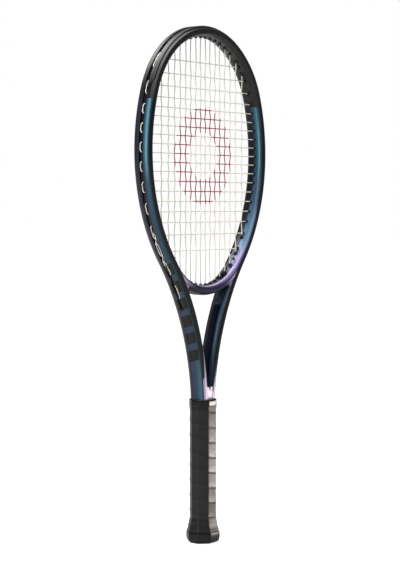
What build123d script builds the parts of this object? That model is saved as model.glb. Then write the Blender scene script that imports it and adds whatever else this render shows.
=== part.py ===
"""Tennis racket, strung, standing on its butt: 27 in long, 100 sq in head, 16 mains by 19 crosses.

The origin is the centre of the butt's flat end. +Z runs up the handle to the tip of the head, X runs across
the head and Y is square to the string bed, with the front face at -Y. All sizes are in millimetres.

The frame is a hollow carbon hairpin: one tube runs up a leg, out along a throat arm, round the head and back.
Its centreline is a chain of tangent arcs in the XZ plane. The head is an oval of such arcs, and the bridge
closes it at the bottom.
"""

import math
import os

from build123d import *

# ---------------------------------------------------------------- driving dimensions
OVERALL_LENGTH = 685.8

# Rail: the tube of the hairpin. Its section is an oval, thin across the face and deep along Y.
RAIL_WIDTH = 12.0
RAIL_DEPTH = 25.5
RAIL_END_R = 3.7
RAIL_WALL = 1.3
LEG_DEPTH = 24.0
LEG_SKIN = 0.5

# Head centreline.
HEAD_HALF_WIDTH = 126.5
WIDEST_Z = 518.0
CROWN_TIGHTER = 6.5
BRIDGE_Z = 335.5
BRIDGE_TIGHTER = 31.5

# Throat and legs.
DEPARTURE_ANGLE = 38.0
LEG_X = 7.7
LEG_END_Z = 14.0
NOTCH_Z = 207.0
NOTCH_SLOPE = 2.0
WEB_DEPTH = 22.5

# Bridge: a separate tube, a little slimmer than the rail.
BRIDGE_WIDTH = 11.2
BRIDGE_DEPTH = 24.3
GUSSET_TOP_Z = 366.0
GUSSET_DEPTH = 22.4

# String channel in the rail's outer side, and the nylon parts in it.
CHANNEL_WIDTH = 6.0
CHANNEL_DEPTH = 3.0
CHANNEL_END_Z = 314.0
STRIP_THICK = 1.0
STRIP_END_Z = 319.0
GROMMET_FIT = 0.05
BUMPER_THICK = 1.6
BUMPER_HALF_WIDTH = 9.5
BUMPER_END_Z = 594.0
BRIDGE_GUARD_HALF_WIDTH = 7.5
BRIDGE_GUARD_THICK = 1.6
BRIDGE_GUARD_ANGLE = 22.0
STRIP_GAP = 0.6
BARREL_WALL = 0.65
BORE_CLEARANCE = 0.6
BARREL_PROUD = 2.0
HOLE_CLEARANCE = 0.1
HOLE_LEAN = 0.2

# Strings. Mains are half distances from the centreline; crosses are gaps below the first one.
STRING_D = 1.3
MAIN_GAPS = [5.2, 10.8, 11.0, 11.0, 11.5, 12.3, 13.1, 14.7]
MAIN_SPREAD = 89.6 / 126.5
FIRST_CROSS_Z = 637.0
CROSS_GAPS = [18.4, 16.3, 15.0, 12.6, 11.9] + [11.8] * 5 + [12.0, 12.5, 12.9, 13.1, 13.5, 14.0, 16.1, 21.1]
BRIDGE_MAINS = 3
SHOULDER_MAINS = 5
WEAVE_GAP = 0.38
LANE_GAP = 1.6
PASSING_GAP = 2.2
LOOP_LIFT = 0.35
LOOP_R = 1.6
MOUTH_BEND_R = 2.5
CROSSING_R = 10.0
LOOP_STEP = 11.0
LANE_RUN = 3.4
CLOSE_CROSSING = 6.0
BORE_SHIFT = 0.5
KNOT_SLACK = 0.2
KNOT_TURNS = 2
KNOT_BACK = 3.0
KNOT_GAP = 0.06
TAIL_GAP = 0.35

# Handle. Octagons are half sizes: (x, y, half the front face's width, half the side face's width).
PALLET = (16.0, 14.2, 7.8, 4.9)
PALLET_TOP_Z = 188.0
PALLET_END_Z = 8.0
PALLET_FIT = 0.05
GRIP_THICK = 1.8
GRIP_TOP_Z = 184.0
GRIP_START_Z = 14.0
COLLAR_THICK = 0.45
COLLAR_LOW_Z = 181.6
COLLAR_TOP_Z = 190.4
FINISH_TAPE_THICK = 0.1
FINISH_TAPE_WIDTH = 7.0
PLUG_LENGTH = 20.0

# Butt cap and its door.
CAP_WALL = 1.1
CAP_SLEEVE_TOP_Z = 28.0
CAP_PLATE = 5.0
CAP_FLARE = 4.4
CAP_FLARE_Z = 9.5
CAP_FOOT_INSET = 4.4
CAP_CORNER_R = 3.6
TAPE_SETTLE = 4.0
DOOR_R = 11.6
DOOR_FIT = 0.06
DOOR_RECESS = 0.6
DOOR_PLATE = 1.6
DOOR_SKIRT = 1.2
DOOR_RIBS = 6
DOOR_RIB_R = 0.35
STAPLE_CROWN = 10.0
STAPLE_WIRE = 0.7
STAPLE_LEG = 3.2
STAPLE_Z = 24.0
TACK_HEAD_R = 1.6
TACK_PIN_R = 0.5
TACK_END_GAP = 1.0
TACK_Z = 24.0

# ---------------------------------------------------------------- derived
CROWN_R = HEAD_HALF_WIDTH - CROWN_TIGHTER
BRIDGE_R = HEAD_HALF_WIDTH - BRIDGE_TIGHTER
STRING_R = STRING_D / 2
BORE_R = STRING_R + BORE_CLEARANCE
BARREL_R = BORE_R + BARREL_WALL
WEAVE = (STRING_D + WEAVE_GAP) / 2
LANE_Y = (STRING_D + LANE_GAP) / 2
PASSING_Y = (STRING_D + PASSING_GAP) / 2
LOOP_HEIGHT = STRING_R + LOOP_LIFT
KNOT_R = STRING_D + KNOT_SLACK
TIP_Z = OVERALL_LENGTH - BUMPER_THICK - RAIL_WIDTH / 2
CHANNEL_FLOOR = RAIL_WIDTH / 2 - CHANNEL_DEPTH
STRIP_TOP = CHANNEL_FLOOR + STRIP_THICK
HOLE_R = BARREL_R + HOLE_CLEARANCE
MOUTH_OFFSET = -(RAIL_WIDTH / 2 + BARREL_PROUD)
MAIN_PACE = MAIN_SPREAD * HEAD_HALF_WIDTH / sum(MAIN_GAPS)
MAIN_X = [MAIN_PACE * sum(MAIN_GAPS[: i + 1]) for i in range(len(MAIN_GAPS))]
CROSS_Z = [FIRST_CROSS_Z - sum(CROSS_GAPS[:i]) for i in range(len(CROSS_GAPS) + 1)]
SLEEVE = tuple(size + CAP_WALL for size in PALLET[:2])
TACK_LENGTH = SLEEVE[0] - (LEG_X + RAIL_WIDTH / 2) - TACK_END_GAP


# ---------------------------------------------------------------- ovals made of four tangent arcs a quadrant pair
def side_radius(half_width, half_height, end_radius):
    """Radius of the long arc that joins an end arc smoothly to the widest point of an oval."""
    a, b, r = half_width, half_height, end_radius
    return (a * a + b * b - 2 * b * r) / (2 * (a - r))


def oval_section(width, depth, end_radius):
    """Face of an oval with its short axis along X: two end arcs at +-Y and two long side arcs."""
    a, b, r = width / 2, depth / 2, end_radius
    side = side_radius(a, b, r)
    angle = math.atan2(b - r, side - a)
    x, y = a - side + side * math.cos(angle), side * math.sin(angle)
    return make_face(
        [
            ThreePointArc((x, y), (0, b), (-x, y)),
            ThreePointArc((-x, y), (-a, 0), (-x, -y)),
            ThreePointArc((-x, -y), (0, -b), (x, -y)),
            ThreePointArc((x, -y), (a, 0), (x, y)),
        ]
    )


# ---------------------------------------------------------------- rails: chains of tangent arcs in the XZ plane
class Arc:
    """Part of a circle in the XZ plane. Its outward side is away from the centre, or towards it if bent is -1."""

    def __init__(self, centre, radius, start, end, bent=1):
        self.centre, self.radius, self.bent = centre, radius, bent
        self.start, self.end = start, end

    def at(self, angle, offset=0.0):
        """Point at an angle, moved to the outward side by offset."""
        reach = self.radius + self.bent * offset
        return self.centre[0] + reach * math.cos(angle), self.centre[1] + reach * math.sin(angle)

    def outward(self, angle):
        return self.bent * math.cos(angle), self.bent * math.sin(angle)

    def hit(self, point, direction, offset):
        """Distance along a ray to this arc moved outward by offset, with its angle there, or None."""
        px, pz = point[0] - self.centre[0], point[1] - self.centre[1]
        reach = self.radius + self.bent * offset
        along = px * direction[0] + pz * direction[1]
        root = along**2 - (px**2 + pz**2 - reach**2)
        if root < 0:
            return None
        low, high = min(self.start, self.end) - 1e-9, max(self.start, self.end) + 1e-9
        for distance in (-along - math.sqrt(root), -along + math.sqrt(root)):
            x, z = px + distance * direction[0], pz + distance * direction[1]
            angle = math.atan2(z, x)
            if self.bent < 0:
                angle %= 2 * math.pi
            if distance > 0 and low <= angle <= high:
                return distance, angle
        return None

    def edge(self):
        middle = (self.start + self.end) / 2
        points = [self.at(angle) for angle in (self.start, middle, self.end)]
        return Edge.make_three_point_arc(*[Vector(x, 0, z) for x, z in points])


def head_arcs():
    """Right half of the head, tip to bridge, then the throat arm, as arcs by name."""
    lower_side = side_radius(HEAD_HALF_WIDTH, WIDEST_Z - BRIDGE_Z, BRIDGE_R)
    upper_side = side_radius(HEAD_HALF_WIDTH, TIP_Z - WIDEST_Z, CROWN_R)
    upper_x, lower_x = HEAD_HALF_WIDTH - upper_side, HEAD_HALF_WIDTH - lower_side
    crown_z, bridge_z = TIP_Z - CROWN_R, BRIDGE_Z + BRIDGE_R
    upper_angle = math.atan2(crown_z - WIDEST_Z, -upper_x)
    lower_angle = math.atan2(bridge_z - WIDEST_Z, -lower_x)
    leave = -math.radians(DEPARTURE_ANGLE)
    arcs = {
        "crown": Arc((0, crown_z), CROWN_R, math.pi / 2, upper_angle),
        "upper": Arc((upper_x, WIDEST_Z), upper_side, upper_angle, 0),
        "lower": Arc((lower_x, WIDEST_Z), lower_side, 0, leave),
        "yoke": Arc((lower_x, WIDEST_Z), lower_side, leave, lower_angle),
        "bridge": Arc((0, bridge_z), BRIDGE_R, lower_angle, -math.pi / 2),
    }
    x, z = arcs["lower"].at(leave)
    radius = (x - LEG_X) / (1 - math.cos(leave))
    centre = (x + radius * math.cos(leave), z + radius * math.sin(leave))
    arcs["arm"] = Arc(centre, radius, math.pi + leave, math.pi, bent=-1)
    return arcs


ARCS = head_arcs()
HAIRPIN_RAIL = [ARCS[name] for name in ("crown", "upper", "lower", "arm")]
RING_RAIL = [ARCS[name] for name in ("crown", "upper", "lower", "yoke", "bridge")]
LEG_TOP_Z = ARCS["arm"].centre[1]


def cast(rail, point, direction, offset):
    """Where a ray meets the right half of a rail moved outward by offset: (point, outward, arc, angle)."""
    hits = [(arc.hit(point, direction, offset), arc) for arc in rail]
    (distance, angle), arc = min(((h, arc) for h, arc in hits if h), key=lambda found: found[0][0])
    return arc.at(angle, offset), arc.outward(angle), arc, angle


def arm_angle(z, offset=0.0):
    """Angle on the throat arm's arc at height z."""
    arm = ARCS["arm"]
    return math.pi - math.asin((z - arm.centre[1]) / (arm.radius - offset))


def rail_x(z, offset=0.0):
    """Half distance between the two throat arms at height z, moved outward by offset."""
    return LEG_X + offset if z < LEG_TOP_Z else ARCS["arm"].at(arm_angle(z, offset), offset)[0]


def mirrored(arcs):
    """The same arcs on the left side."""
    flip = [Arc((-a.centre[0], a.centre[1]), a.radius, math.pi - a.start, math.pi - a.end, a.bent) for a in arcs]
    return flip


def path_of(arcs):
    return Wire([arc.edge() for arc in arcs])


def cut_arc(arc, start=None, end=None):
    return Arc(arc.centre, arc.radius, arc.start if start is None else start, arc.end if end is None else end, arc.bent)


def along_rail(section, arcs):
    """A section, drawn with X outward and Y along the racket's Y, carried along arcs."""
    first = arcs[0]
    x, z = first.at(first.start)
    out = first.outward(first.start)
    turn = 1 if first.end > first.start else -1
    tangent = (-math.sin(first.start) * turn, math.cos(first.start) * turn)
    plane = Plane(origin=(x, 0, z), x_dir=(out[0], 0, out[1]), z_dir=(tangent[0], 0, tangent[1]))
    return sweep(plane * section, path=path_of(arcs))


def both_sides(arcs):
    """Arcs from the tip down the right side, joined to their mirror: one chain from left end to right end."""
    left = [Arc(a.centre, a.radius, a.end, a.start, a.bent) for a in reversed(mirrored(arcs))]
    return left + list(arcs)


# ---------------------------------------------------------------- sections
def rail_section(width=RAIL_WIDTH, depth=RAIL_DEPTH):
    return oval_section(width, depth, RAIL_END_R)


def shrunk(face, amount):
    return offset(face, -amount)


def channel_section(width=RAIL_WIDTH):
    """The slot cut in the outer side, open outwards."""
    length = CHANNEL_DEPTH + BUMPER_THICK + 1
    return Pos(width / 2 - CHANNEL_DEPTH + length / 2, 0) * Rectangle(length, CHANNEL_WIDTH)


def void_section(width=RAIL_WIDTH, depth=RAIL_DEPTH):
    """Inside of the tube where it carries the channel: it stops one wall short of the channel's floor."""
    keep = width / 2 - CHANNEL_DEPTH - RAIL_WALL
    half = Pos(keep - width, 0) * Rectangle(2 * width, 2 * depth)
    return shrunk(rail_section(width, depth), RAIL_WALL) & half


def guard_section(width, depth, half_width, thick):
    """Nylon guard over the outer side: wings on the rail's skin, and a base in the channel under the strings."""
    rail = rail_section(width, depth)
    wings = offset(rail, thick) & (Pos(width / 2, 0) * Rectangle(width, 2 * half_width))
    guard = wings - offset(rail, GROMMET_FIT)
    floor = width / 2 - CHANNEL_DEPTH
    base_height = CHANNEL_DEPTH + thick - GROMMET_FIT
    base = Pos(floor + GROMMET_FIT + base_height / 2, 0) * Rectangle(base_height, CHANNEL_WIDTH - 2 * GROMMET_FIT)
    base = base & offset(rail, thick)
    slot_height = CHANNEL_DEPTH + thick
    slot_width = 2 * (LANE_Y + STRING_R + 0.25)
    slot = Pos(floor + STRIP_THICK + slot_height / 2, 0) * Rectangle(slot_height, slot_width)
    return (guard + base) - slot


def strip_section():
    """Flat base of a side grommet strip, on the channel's floor."""
    height = STRIP_THICK - GROMMET_FIT
    return Pos(CHANNEL_FLOOR + GROMMET_FIT + height / 2, 0) * Rectangle(height, CHANNEL_WIDTH - 2 * GROMMET_FIT)


# ---------------------------------------------------------------- string holes
class Hole:
    """One drilled hole with its grommet barrel. mouth is the barrel's inner tip and top is on the strip's top."""

    def __init__(self, side, mouth, out, exit_rail, strip_top, lean):
        self.side = side
        mix = [out[i] * (1 - lean[2]) + lean[i] * lean[2] for i in (0, 1)]
        size = math.hypot(*mix)
        self.axis2 = (mix[0] / size, mix[1] / size)
        self.mouth2 = mouth
        self.top2, self.out2, self.arc, self.angle = cast(exit_rail, mouth, self.axis2, strip_top)
        self.on_bridge = exit_rail is RING_RAIL

    def to3(self, point, y=0.0):
        return Vector(self.side * point[0], y, point[1])

    @property
    def axis(self):
        return Vector(self.side * self.axis2[0], 0, self.axis2[1])

    @property
    def mouth(self):
        return self.to3(self.mouth2)

    @property
    def top(self):
        return self.to3(self.top2)

    def rod(self, radius, start=0.0, end=0.0):
        """Cylinder along the hole from start past the mouth to end past the strip's top."""
        length = (self.top - self.mouth).length + end - start
        return Solid.make_cylinder(radius, length, Plane(origin=self.mouth + self.axis * start, z_dir=self.axis))


def string_hole(side, start, direction, exit_rail=None, lean=HOLE_LEAN):
    """Hole where a string that runs from start along direction meets the ring, on the side given by +1 or -1."""
    mouth, out, _, _ = cast(RING_RAIL, start, direction, MOUTH_OFFSET)
    rail = exit_rail or HAIRPIN_RAIL
    top = STRIP_TOP if rail is HAIRPIN_RAIL else BRIDGE_WIDTH / 2 - CHANNEL_DEPTH + STRIP_THICK
    return Hole(side, mouth, out, rail, top, (direction[0], direction[1], lean))


def tie_hole(side, first, second):
    """Hole for a tied-off end, halfway between the mouths of two others."""
    middle = tuple((first.mouth2[i] + second.mouth2[i]) / 2 for i in (0, 1))
    inward = (0.0, WIDEST_Z)
    direction = (middle[0] - inward[0], middle[1] - inward[1])
    size = math.hypot(*direction)
    return string_hole(side, inward, (direction[0] / size, direction[1] / size), lean=0.0)


def main_ends(side):
    """Top and bottom holes of the mains on one side, from the centre outwards."""
    tops = [string_hole(side, (x, WIDEST_Z), (0, 1)) for x in MAIN_X]
    bottoms = []
    for number, x in enumerate(MAIN_X, 1):
        rail = RING_RAIL if number <= BRIDGE_MAINS else HAIRPIN_RAIL
        lean = 0.0 if BRIDGE_MAINS < number <= SHOULDER_MAINS else HOLE_LEAN
        bottoms.append(string_hole(side, (x, WIDEST_Z), (0, -1), rail, lean))
    return tops, bottoms


MAIN_HOLES = {side: main_ends(side) for side in (-1, 1)}
CROSS_HOLES = {side: [string_hole(side, (0, z), (1, 0)) for z in CROSS_Z] for side in (-1, 1)}

# Tied-off ends: each has its own hole, beside the main string, counted from the centre, that anchors its knot.
MAIN_TIE_ANCHOR, FIRST_CROSS_ANCHOR, LAST_CROSS_ANCHOR = 5, 4, 7
MAIN_TIES = {
    side: tie_hole(side, MAIN_HOLES[side][1][MAIN_TIE_ANCHOR], MAIN_HOLES[side][1][MAIN_TIE_ANCHOR + 1])
    for side in (-1, 1)
}
FIRST_CROSS_TIE = tie_hole(1, MAIN_HOLES[1][0][FIRST_CROSS_ANCHOR], MAIN_HOLES[1][0][FIRST_CROSS_ANCHOR + 1])
LAST_CROSS_TIE = tie_hole(-1, CROSS_HOLES[-1][-3], CROSS_HOLES[-1][-2])
ALL_HOLES = (
    [hole for side in (-1, 1) for ends in MAIN_HOLES[side] for hole in ends]
    + [hole for side in (-1, 1) for hole in CROSS_HOLES[side]]
    + [MAIN_TIES[-1], MAIN_TIES[1], FIRST_CROSS_TIE, LAST_CROSS_TIE]
)


# ---------------------------------------------------------------- string routes
def bent_route(points, radii):
    """Wire of straight runs joined by tangent arcs, one radius a corner, limited by the runs beside it."""
    edges, here = [], points[0]
    for i in range(1, len(points) - 1):
        before, after = points[i] - points[i - 1], points[i + 1] - points[i]
        turn = math.radians(before.get_angle(after))
        if turn < 1e-4:
            continue
        radius = min(radii[i], 0.45 * min(before.length, after.length) / math.tan(turn / 2))
        step = radius * math.tan(turn / 2)
        inward = (after.normalized() - before.normalized()).normalized()
        start, end = points[i] - before.normalized() * step, points[i] + after.normalized() * step
        middle = points[i] + inward * (radius / math.cos(turn / 2) - radius)
        edges += [Edge.make_line(here, start), Edge.make_three_point_arc(start, middle, end)]
        here = end
    edges.append(Edge.make_line(here, points[-1]))
    return Wire(edges)


def string_solid(points, radii):
    wire = bent_route(points, radii)
    return sweep(Plane(origin=wire @ 0, z_dir=wire % 0) * Circle(STRING_R), path=wire)


def bed_run(start, end, crossings):
    """Points and radii of one string across the bed, from mouth to mouth, over and under the others.

    crossings are (point, y). A crossing close to a mouth shifts the string in that bore the same way.
    """
    shifts = []
    for hole, near in ((start, crossings[0]), (end, crossings[-1])):
        close = (near[0] - hole.mouth).length < CLOSE_CROSSING
        shifts.append(math.copysign(BORE_SHIFT, near[1]) if close else 0.0)
    points = [start.to3(start.mouth2, shifts[0])]
    points += [Vector(point.X, y, point.Z) for point, y in crossings]
    points.append(end.to3(end.mouth2, shifts[1]))
    radii = [MOUTH_BEND_R] + [CROSSING_R] * len(crossings) + [MOUTH_BEND_R]
    return points, radii, shifts


def rail_steps(first, second, height, count):
    """Points between two holes along the outer side, height above the strip's top."""
    lift = (STRIP_TOP if not first.on_bridge else BRIDGE_WIDTH / 2 - CHANNEL_DEPTH + STRIP_THICK) + height
    points = []
    for i in range(1, count + 1):
        share = i / (count + 1)
        if first.arc is second.arc:
            angle = first.angle + (second.angle - first.angle) * share
            points.append(first.arc.at(angle, lift))
        else:
            a, b = first.top2, second.top2
            guess = (a[0] + (b[0] - a[0]) * share, a[1] + (b[1] - a[1]) * share)
            mean = (first.out2[0] + second.out2[0], first.out2[1] + second.out2[1])
            size = math.hypot(*mean)
            back = (guess[0] - mean[0] / size * 12, guess[1] - mean[1] / size * 12)
            rail = RING_RAIL if first.on_bridge else HAIRPIN_RAIL
            points.append(cast(rail, back, (mean[0] / size, mean[1] / size), lift)[0])
    return points


def outer_loop(first, second, lane, shifts=(0.0, 0.0), passing=()):
    """Points and radii of a string outside the frame, from one hole to another, in a lane of the channel.

    lane is the string's Y. passing lists the other holes on its way, each with the Y it passes them at.
    """
    ends = [hole.to3(hole.top2, y) + hole.axis * LOOP_HEIGHT for hole, y in zip((first, second), shifts)]
    if first.side != second.side:
        span = ends[1] - ends[0]
        step = span.normalized() * LANE_RUN
        middle = [ends[0] + step + Vector(0, lane, 0), ends[1] - step + Vector(0, lane, 0)]
        return [ends[0], *middle, ends[1]], [LOOP_R, MOUTH_BEND_R, MOUTH_BEND_R, LOOP_R]
    span = (ends[1] - ends[0]).length
    if passing:
        inner = [hole.to3(hole.top2, y) + hole.axis * LOOP_HEIGHT for hole, y in passing]
    else:
        flat = rail_steps(first, second, LOOP_HEIGHT, max(1, round(span / LOOP_STEP)))
        inner = [first.to3(point, lane) for point in flat]
    entry = ends[0] + (inner[0] - ends[0]) * min(0.45, LANE_RUN / (inner[0] - ends[0]).length)
    exit_ = ends[1] + (inner[-1] - ends[1]) * min(0.45, LANE_RUN / (inner[-1] - ends[1]).length)
    entry = Vector(entry.X, inner[0].Y, entry.Z)
    exit_ = Vector(exit_.X, inner[-1].Y, exit_.Z)
    points = [ends[0], entry, *inner, exit_, ends[1]]
    return points, [LOOP_R, MOUTH_BEND_R] + [CROSSING_R] * len(inner) + [MOUTH_BEND_R, LOOP_R]


def over(main_index, cross_index, side):
    """+1 where a main passes behind the cross, -1 in front. It alternates along every string."""
    column = main_index if side > 0 else -main_index - 1
    return 1 if (column + cross_index) % 2 else -1


def main_run(side, index, upward):
    """One main from bottom to top, or back."""
    tops, bottoms = MAIN_HOLES[side]
    order = range(len(CROSS_Z) - 1, -1, -1) if upward else range(len(CROSS_Z))
    x = side * MAIN_X[index]
    crossings = []
    for j in order:
        reach = abs(CROSS_HOLES[side][j].mouth2[0])
        if abs(x) < reach and bottoms[index].mouth2[1] < CROSS_Z[j] < tops[index].mouth2[1]:
            crossings.append((Vector(x, 0, CROSS_Z[j]), WEAVE * over(index, j, side)))
    ends = (bottoms[index], tops[index]) if upward else (tops[index], bottoms[index])
    return ends, bed_run(*ends, crossings)


def cross_run(index, rightward):
    """One cross from left to right, or back."""
    ends = (CROSS_HOLES[-1][index], CROSS_HOLES[1][index])
    z = CROSS_Z[index]
    crossings = []
    for side, order in ((-1, range(len(MAIN_X) - 1, -1, -1)), (1, range(len(MAIN_X)))):
        for i in order:
            tops, bottoms = MAIN_HOLES[side]
            if MAIN_X[i] < abs(CROSS_HOLES[side][index].mouth2[0]) and bottoms[i].mouth2[1] < z < tops[i].mouth2[1]:
                crossings.append((Vector(side * MAIN_X[i], 0, z), -WEAVE * over(i, index, side)))
    if not rightward:
        ends, crossings = ends[::-1], crossings[::-1]
    return ends, bed_run(*ends, crossings)


def string_through(runs, lane):
    """Joins runs across the bed by loops outside the frame."""
    points, radii = [], []
    for number, (ends, (run_points, run_radii, shifts)) in enumerate(runs):
        points += run_points
        radii += run_radii
        if number < len(runs) - 1:
            next_ends, (_, _, next_shifts) = runs[number + 1]
            loop, loop_radii = outer_loop(ends[1], next_ends[0], lane, (shifts[1], next_shifts[0]))
            points += loop
            radii += loop_radii
    return points, radii


def knot_frame(hole, anchor):
    """Where a tied-off end meets the main string beside its hole, and that string's direction there."""
    inward = math.copysign(KNOT_BACK, WIDEST_Z - hole.mouth2[1])
    z = hole.mouth2[1] + (0.0 if hole is LAST_CROSS_TIE else inward)
    points = main_run(hole.side, anchor, upward=True)[1][0]
    low, high = next((a, b) for a, b in zip(points, points[1:]) if a.Z <= z <= b.Z)
    return low + (high - low) * ((z - low.Z) / (high.Z - low.Z)), (high - low).normalized()


def tail(start, hole, lane, anchor, shift, passing=()):
    """Points and radii of an end that runs outside from its own hole to a tie hole, and in to its knot."""
    loop, radii = outer_loop(start, hole, lane, (shift, 0.0), passing)
    knot, _ = knot_frame(hole, anchor)
    toward = (hole.mouth - knot).normalized()
    stop = knot + toward * (KNOT_R + STRING_R + TAIL_GAP)
    return loop + [hole.mouth, stop], radii + [MOUTH_BEND_R, 0.0]


def main_string():
    runs = []
    count = len(MAIN_X)
    for i in range(count - 1, -1, -1):
        runs.append(main_run(-1, i, upward=i % 2 == 1))
    for i in range(count):
        runs.append(main_run(1, i, upward=i % 2 == 0))
    points, radii = string_through(runs, -LANE_Y)
    for side, run in ((-1, runs[0]), (1, runs[-1])):
        hole = run[0][0] if side < 0 else run[0][1]
        shift = run[1][2][0 if side < 0 else 1]
        passing = [(CROSS_HOLES[side][-1], -PASSING_Y), (MAIN_HOLES[side][1][MAIN_TIE_ANCHOR + 1], PASSING_Y)]
        more, more_radii = tail(hole, MAIN_TIES[side], -LANE_Y, MAIN_TIE_ANCHOR, shift, passing)
        if side < 0:
            points, radii = more[::-1] + points, more_radii[::-1] + radii
        else:
            points, radii = points + more, radii + more_radii
    return string_solid(points, radii)


def cross_string():
    runs = [cross_run(i, rightward=i % 2 == 1) for i in range(len(CROSS_Z))]
    points, radii = string_through(runs, LANE_Y)
    first, last = runs[0], runs[-1]
    more, more_radii = tail(first[0][0], FIRST_CROSS_TIE, LANE_Y, FIRST_CROSS_ANCHOR, first[1][2][0])
    points, radii = more[::-1] + points, more_radii[::-1] + radii
    passing = [(MAIN_HOLES[-1][1][LAST_CROSS_ANCHOR], PASSING_Y), (CROSS_HOLES[-1][-2], -PASSING_Y)]
    more, more_radii = tail(last[0][1], LAST_CROSS_TIE, LANE_Y, LAST_CROSS_ANCHOR, last[1][2][1], passing)
    return string_solid(points + more, radii + more_radii)


def knots(ties):
    """Each knot is a few turns of string round the upright string that anchors it."""
    rings = []
    for hole, anchor in ties:
        centre, along = knot_frame(hole, anchor)
        for turn in range(KNOT_TURNS):
            lift = (turn - (KNOT_TURNS - 1) / 2) * (STRING_D + KNOT_GAP)
            rings.append(Solid.make_torus(KNOT_R, STRING_R, Plane(origin=centre + along * lift, z_dir=along)))
    return Compound(rings)


# ---------------------------------------------------------------- frame
def frame_pieces():
    """The hairpin's outer shape, the same without its channel, and its inner void."""
    channel_end = arm_angle(CHANNEL_END_Z)
    upper_arm, lower_arm = cut_arc(ARCS["arm"], end=channel_end), cut_arc(ARCS["arm"], start=channel_end)
    grooved = [ARCS["crown"], ARCS["upper"], ARCS["lower"], upper_arm]
    full = along_rail(rail_section(), both_sides(grooved))
    head = full - along_rail(channel_section(), both_sides(grooved))
    void = along_rail(void_section(), both_sides(grooved))
    for side in (-1, 1):
        arm = tapered_arm(lower_arm, 0.0)
        leg = leg_bar(0.0)
        arm_void, leg_void = tapered_arm(lower_arm, RAIL_WALL), leg_bar(RAIL_WALL)
        pieces = [arm, leg, arm_void, leg_void]
        if side < 0:
            pieces = [piece.mirror(Plane.YZ) for piece in pieces]
        head = head + pieces[0] + pieces[1]
        void = void + pieces[2] + pieces[3]
    return head - handle_trim(LEG_SKIN), full, void - handle_trim(LEG_SKIN + RAIL_WALL)


def handle_trim(inset):
    """Cutter that keeps the legs inside the pallet's octagon by an inset."""
    low, high = LEG_END_Z - 5, PALLET_TOP_Z + 1
    return Pos(0, 0, (low + high) / 2) * Box(100, 100, high - low) - prism(PALLET, low, high, -inset)


def arm_plane(arc, angle):
    x, z = arc.at(angle)
    out = arc.outward(angle)
    return Plane(origin=(x, 0, z), x_dir=(out[0], 0, out[1]), z_dir=(-out[1], 0, out[0]))


def tapered_arm(arc, wall):
    """The right throat arm below the channel, from the rail's depth to the leg's depth."""
    stations = 5
    faces = []
    for i in range(stations):
        share = i / (stations - 1)
        angle = arc.start + (arc.end - arc.start) * share
        face = rail_section(depth=RAIL_DEPTH + (LEG_DEPTH - RAIL_DEPTH) * share)
        faces.append(arm_plane(arc, angle) * (shrunk(face, wall) if wall else face))
    return loft(faces)


def leg_bar(wall):
    """The right leg, inside the handle."""
    face = rail_section(depth=LEG_DEPTH)
    face = shrunk(face, wall) if wall else face
    low = LEG_END_Z - (1 if wall else 0)
    return extrude(Plane(origin=(LEG_X, 0, low), x_dir=(1, 0, 0), z_dir=(0, 0, 1)) * face, LEG_TOP_Z - low)


def throat_bridge(full_rail):
    """The bridge's shell, cut where it meets the hairpin."""
    right = [cut_arc(ARCS["bridge"], ARCS["bridge"].end, ARCS["bridge"].start)]
    right.append(cut_arc(ARCS["yoke"], ARCS["yoke"].end, ARCS["yoke"].start))
    arcs = both_sides(right)
    outer = along_rail(rail_section(BRIDGE_WIDTH, BRIDGE_DEPTH), arcs)
    groove_half = math.radians(BRIDGE_GUARD_ANGLE + 1)
    low = -math.pi / 2
    groove = [Arc(ARCS["bridge"].centre, BRIDGE_R, low - groove_half, low + groove_half)]
    outer -= along_rail(channel_section(BRIDGE_WIDTH), groove)
    void = along_rail(void_section(BRIDGE_WIDTH, BRIDGE_DEPTH), arcs)
    solid = outer - void
    for side in (-1, 1):
        solid = solid + (gusset(side) - void)
    return max((solid - full_rail).solids(), key=lambda piece: piece.volume)


def gusset(side):
    """Flat wedge that fills the corner between the bridge's underside and a throat arm."""
    inner = ARCS["bridge"].at(-math.pi / 2 + math.radians(BRIDGE_GUARD_ANGLE + 3))
    low = inner[1] - 0.9 * BRIDGE_WIDTH
    corners = [(rail_x(GUSSET_TOP_Z), GUSSET_TOP_Z), (rail_x(low), low), inner]
    face = Polygon(*[(side * x, z) for x, z in corners], align=None)
    return extrude(Plane.XZ * face, GUSSET_DEPTH / 2, both=True)


def web(hairpin_outer):
    """Filler between the two legs, notched at the top where the throat opens."""
    half = rail_x(NOTCH_Z)
    block = Pos(0, 0, (LEG_END_Z + NOTCH_Z) / 2) * Box(2 * half, WEB_DEPTH, NOTCH_Z - LEG_END_Z)
    notch_depth = NOTCH_SLOPE * (half - RAIL_WIDTH / 2)
    notch = Polygon((-half, NOTCH_Z), (half, NOTCH_Z), (0, NOTCH_Z - notch_depth), align=None)
    block -= extrude(Plane.XZ * notch, WEB_DEPTH, both=True)
    filler = block - hairpin_outer
    return max(filler.solids(), key=lambda solid: -abs(solid.center().X))


# ---------------------------------------------------------------- grommets
def with_barrels(body, holes):
    """Adds a barrel for each hole to a strip, and bores them all."""
    for hole in holes:
        body = body + hole.rod(BARREL_R, end=-STRIP_THICK / 2)
    for hole in holes:
        body = body - hole.rod(BORE_R, start=-1, end=1)
    return body


def bumper_guard():
    upper = ARCS["upper"]
    end = math.asin((BUMPER_END_Z - WIDEST_Z) / upper.radius)
    arcs = both_sides([ARCS["crown"], cut_arc(upper, end=end)])
    guard = along_rail(guard_section(RAIL_WIDTH, RAIL_DEPTH, BUMPER_HALF_WIDTH, BUMPER_THICK), arcs)
    return with_barrels(guard, [hole for hole in ALL_HOLES if hole.top2[1] > BUMPER_END_Z])


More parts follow.
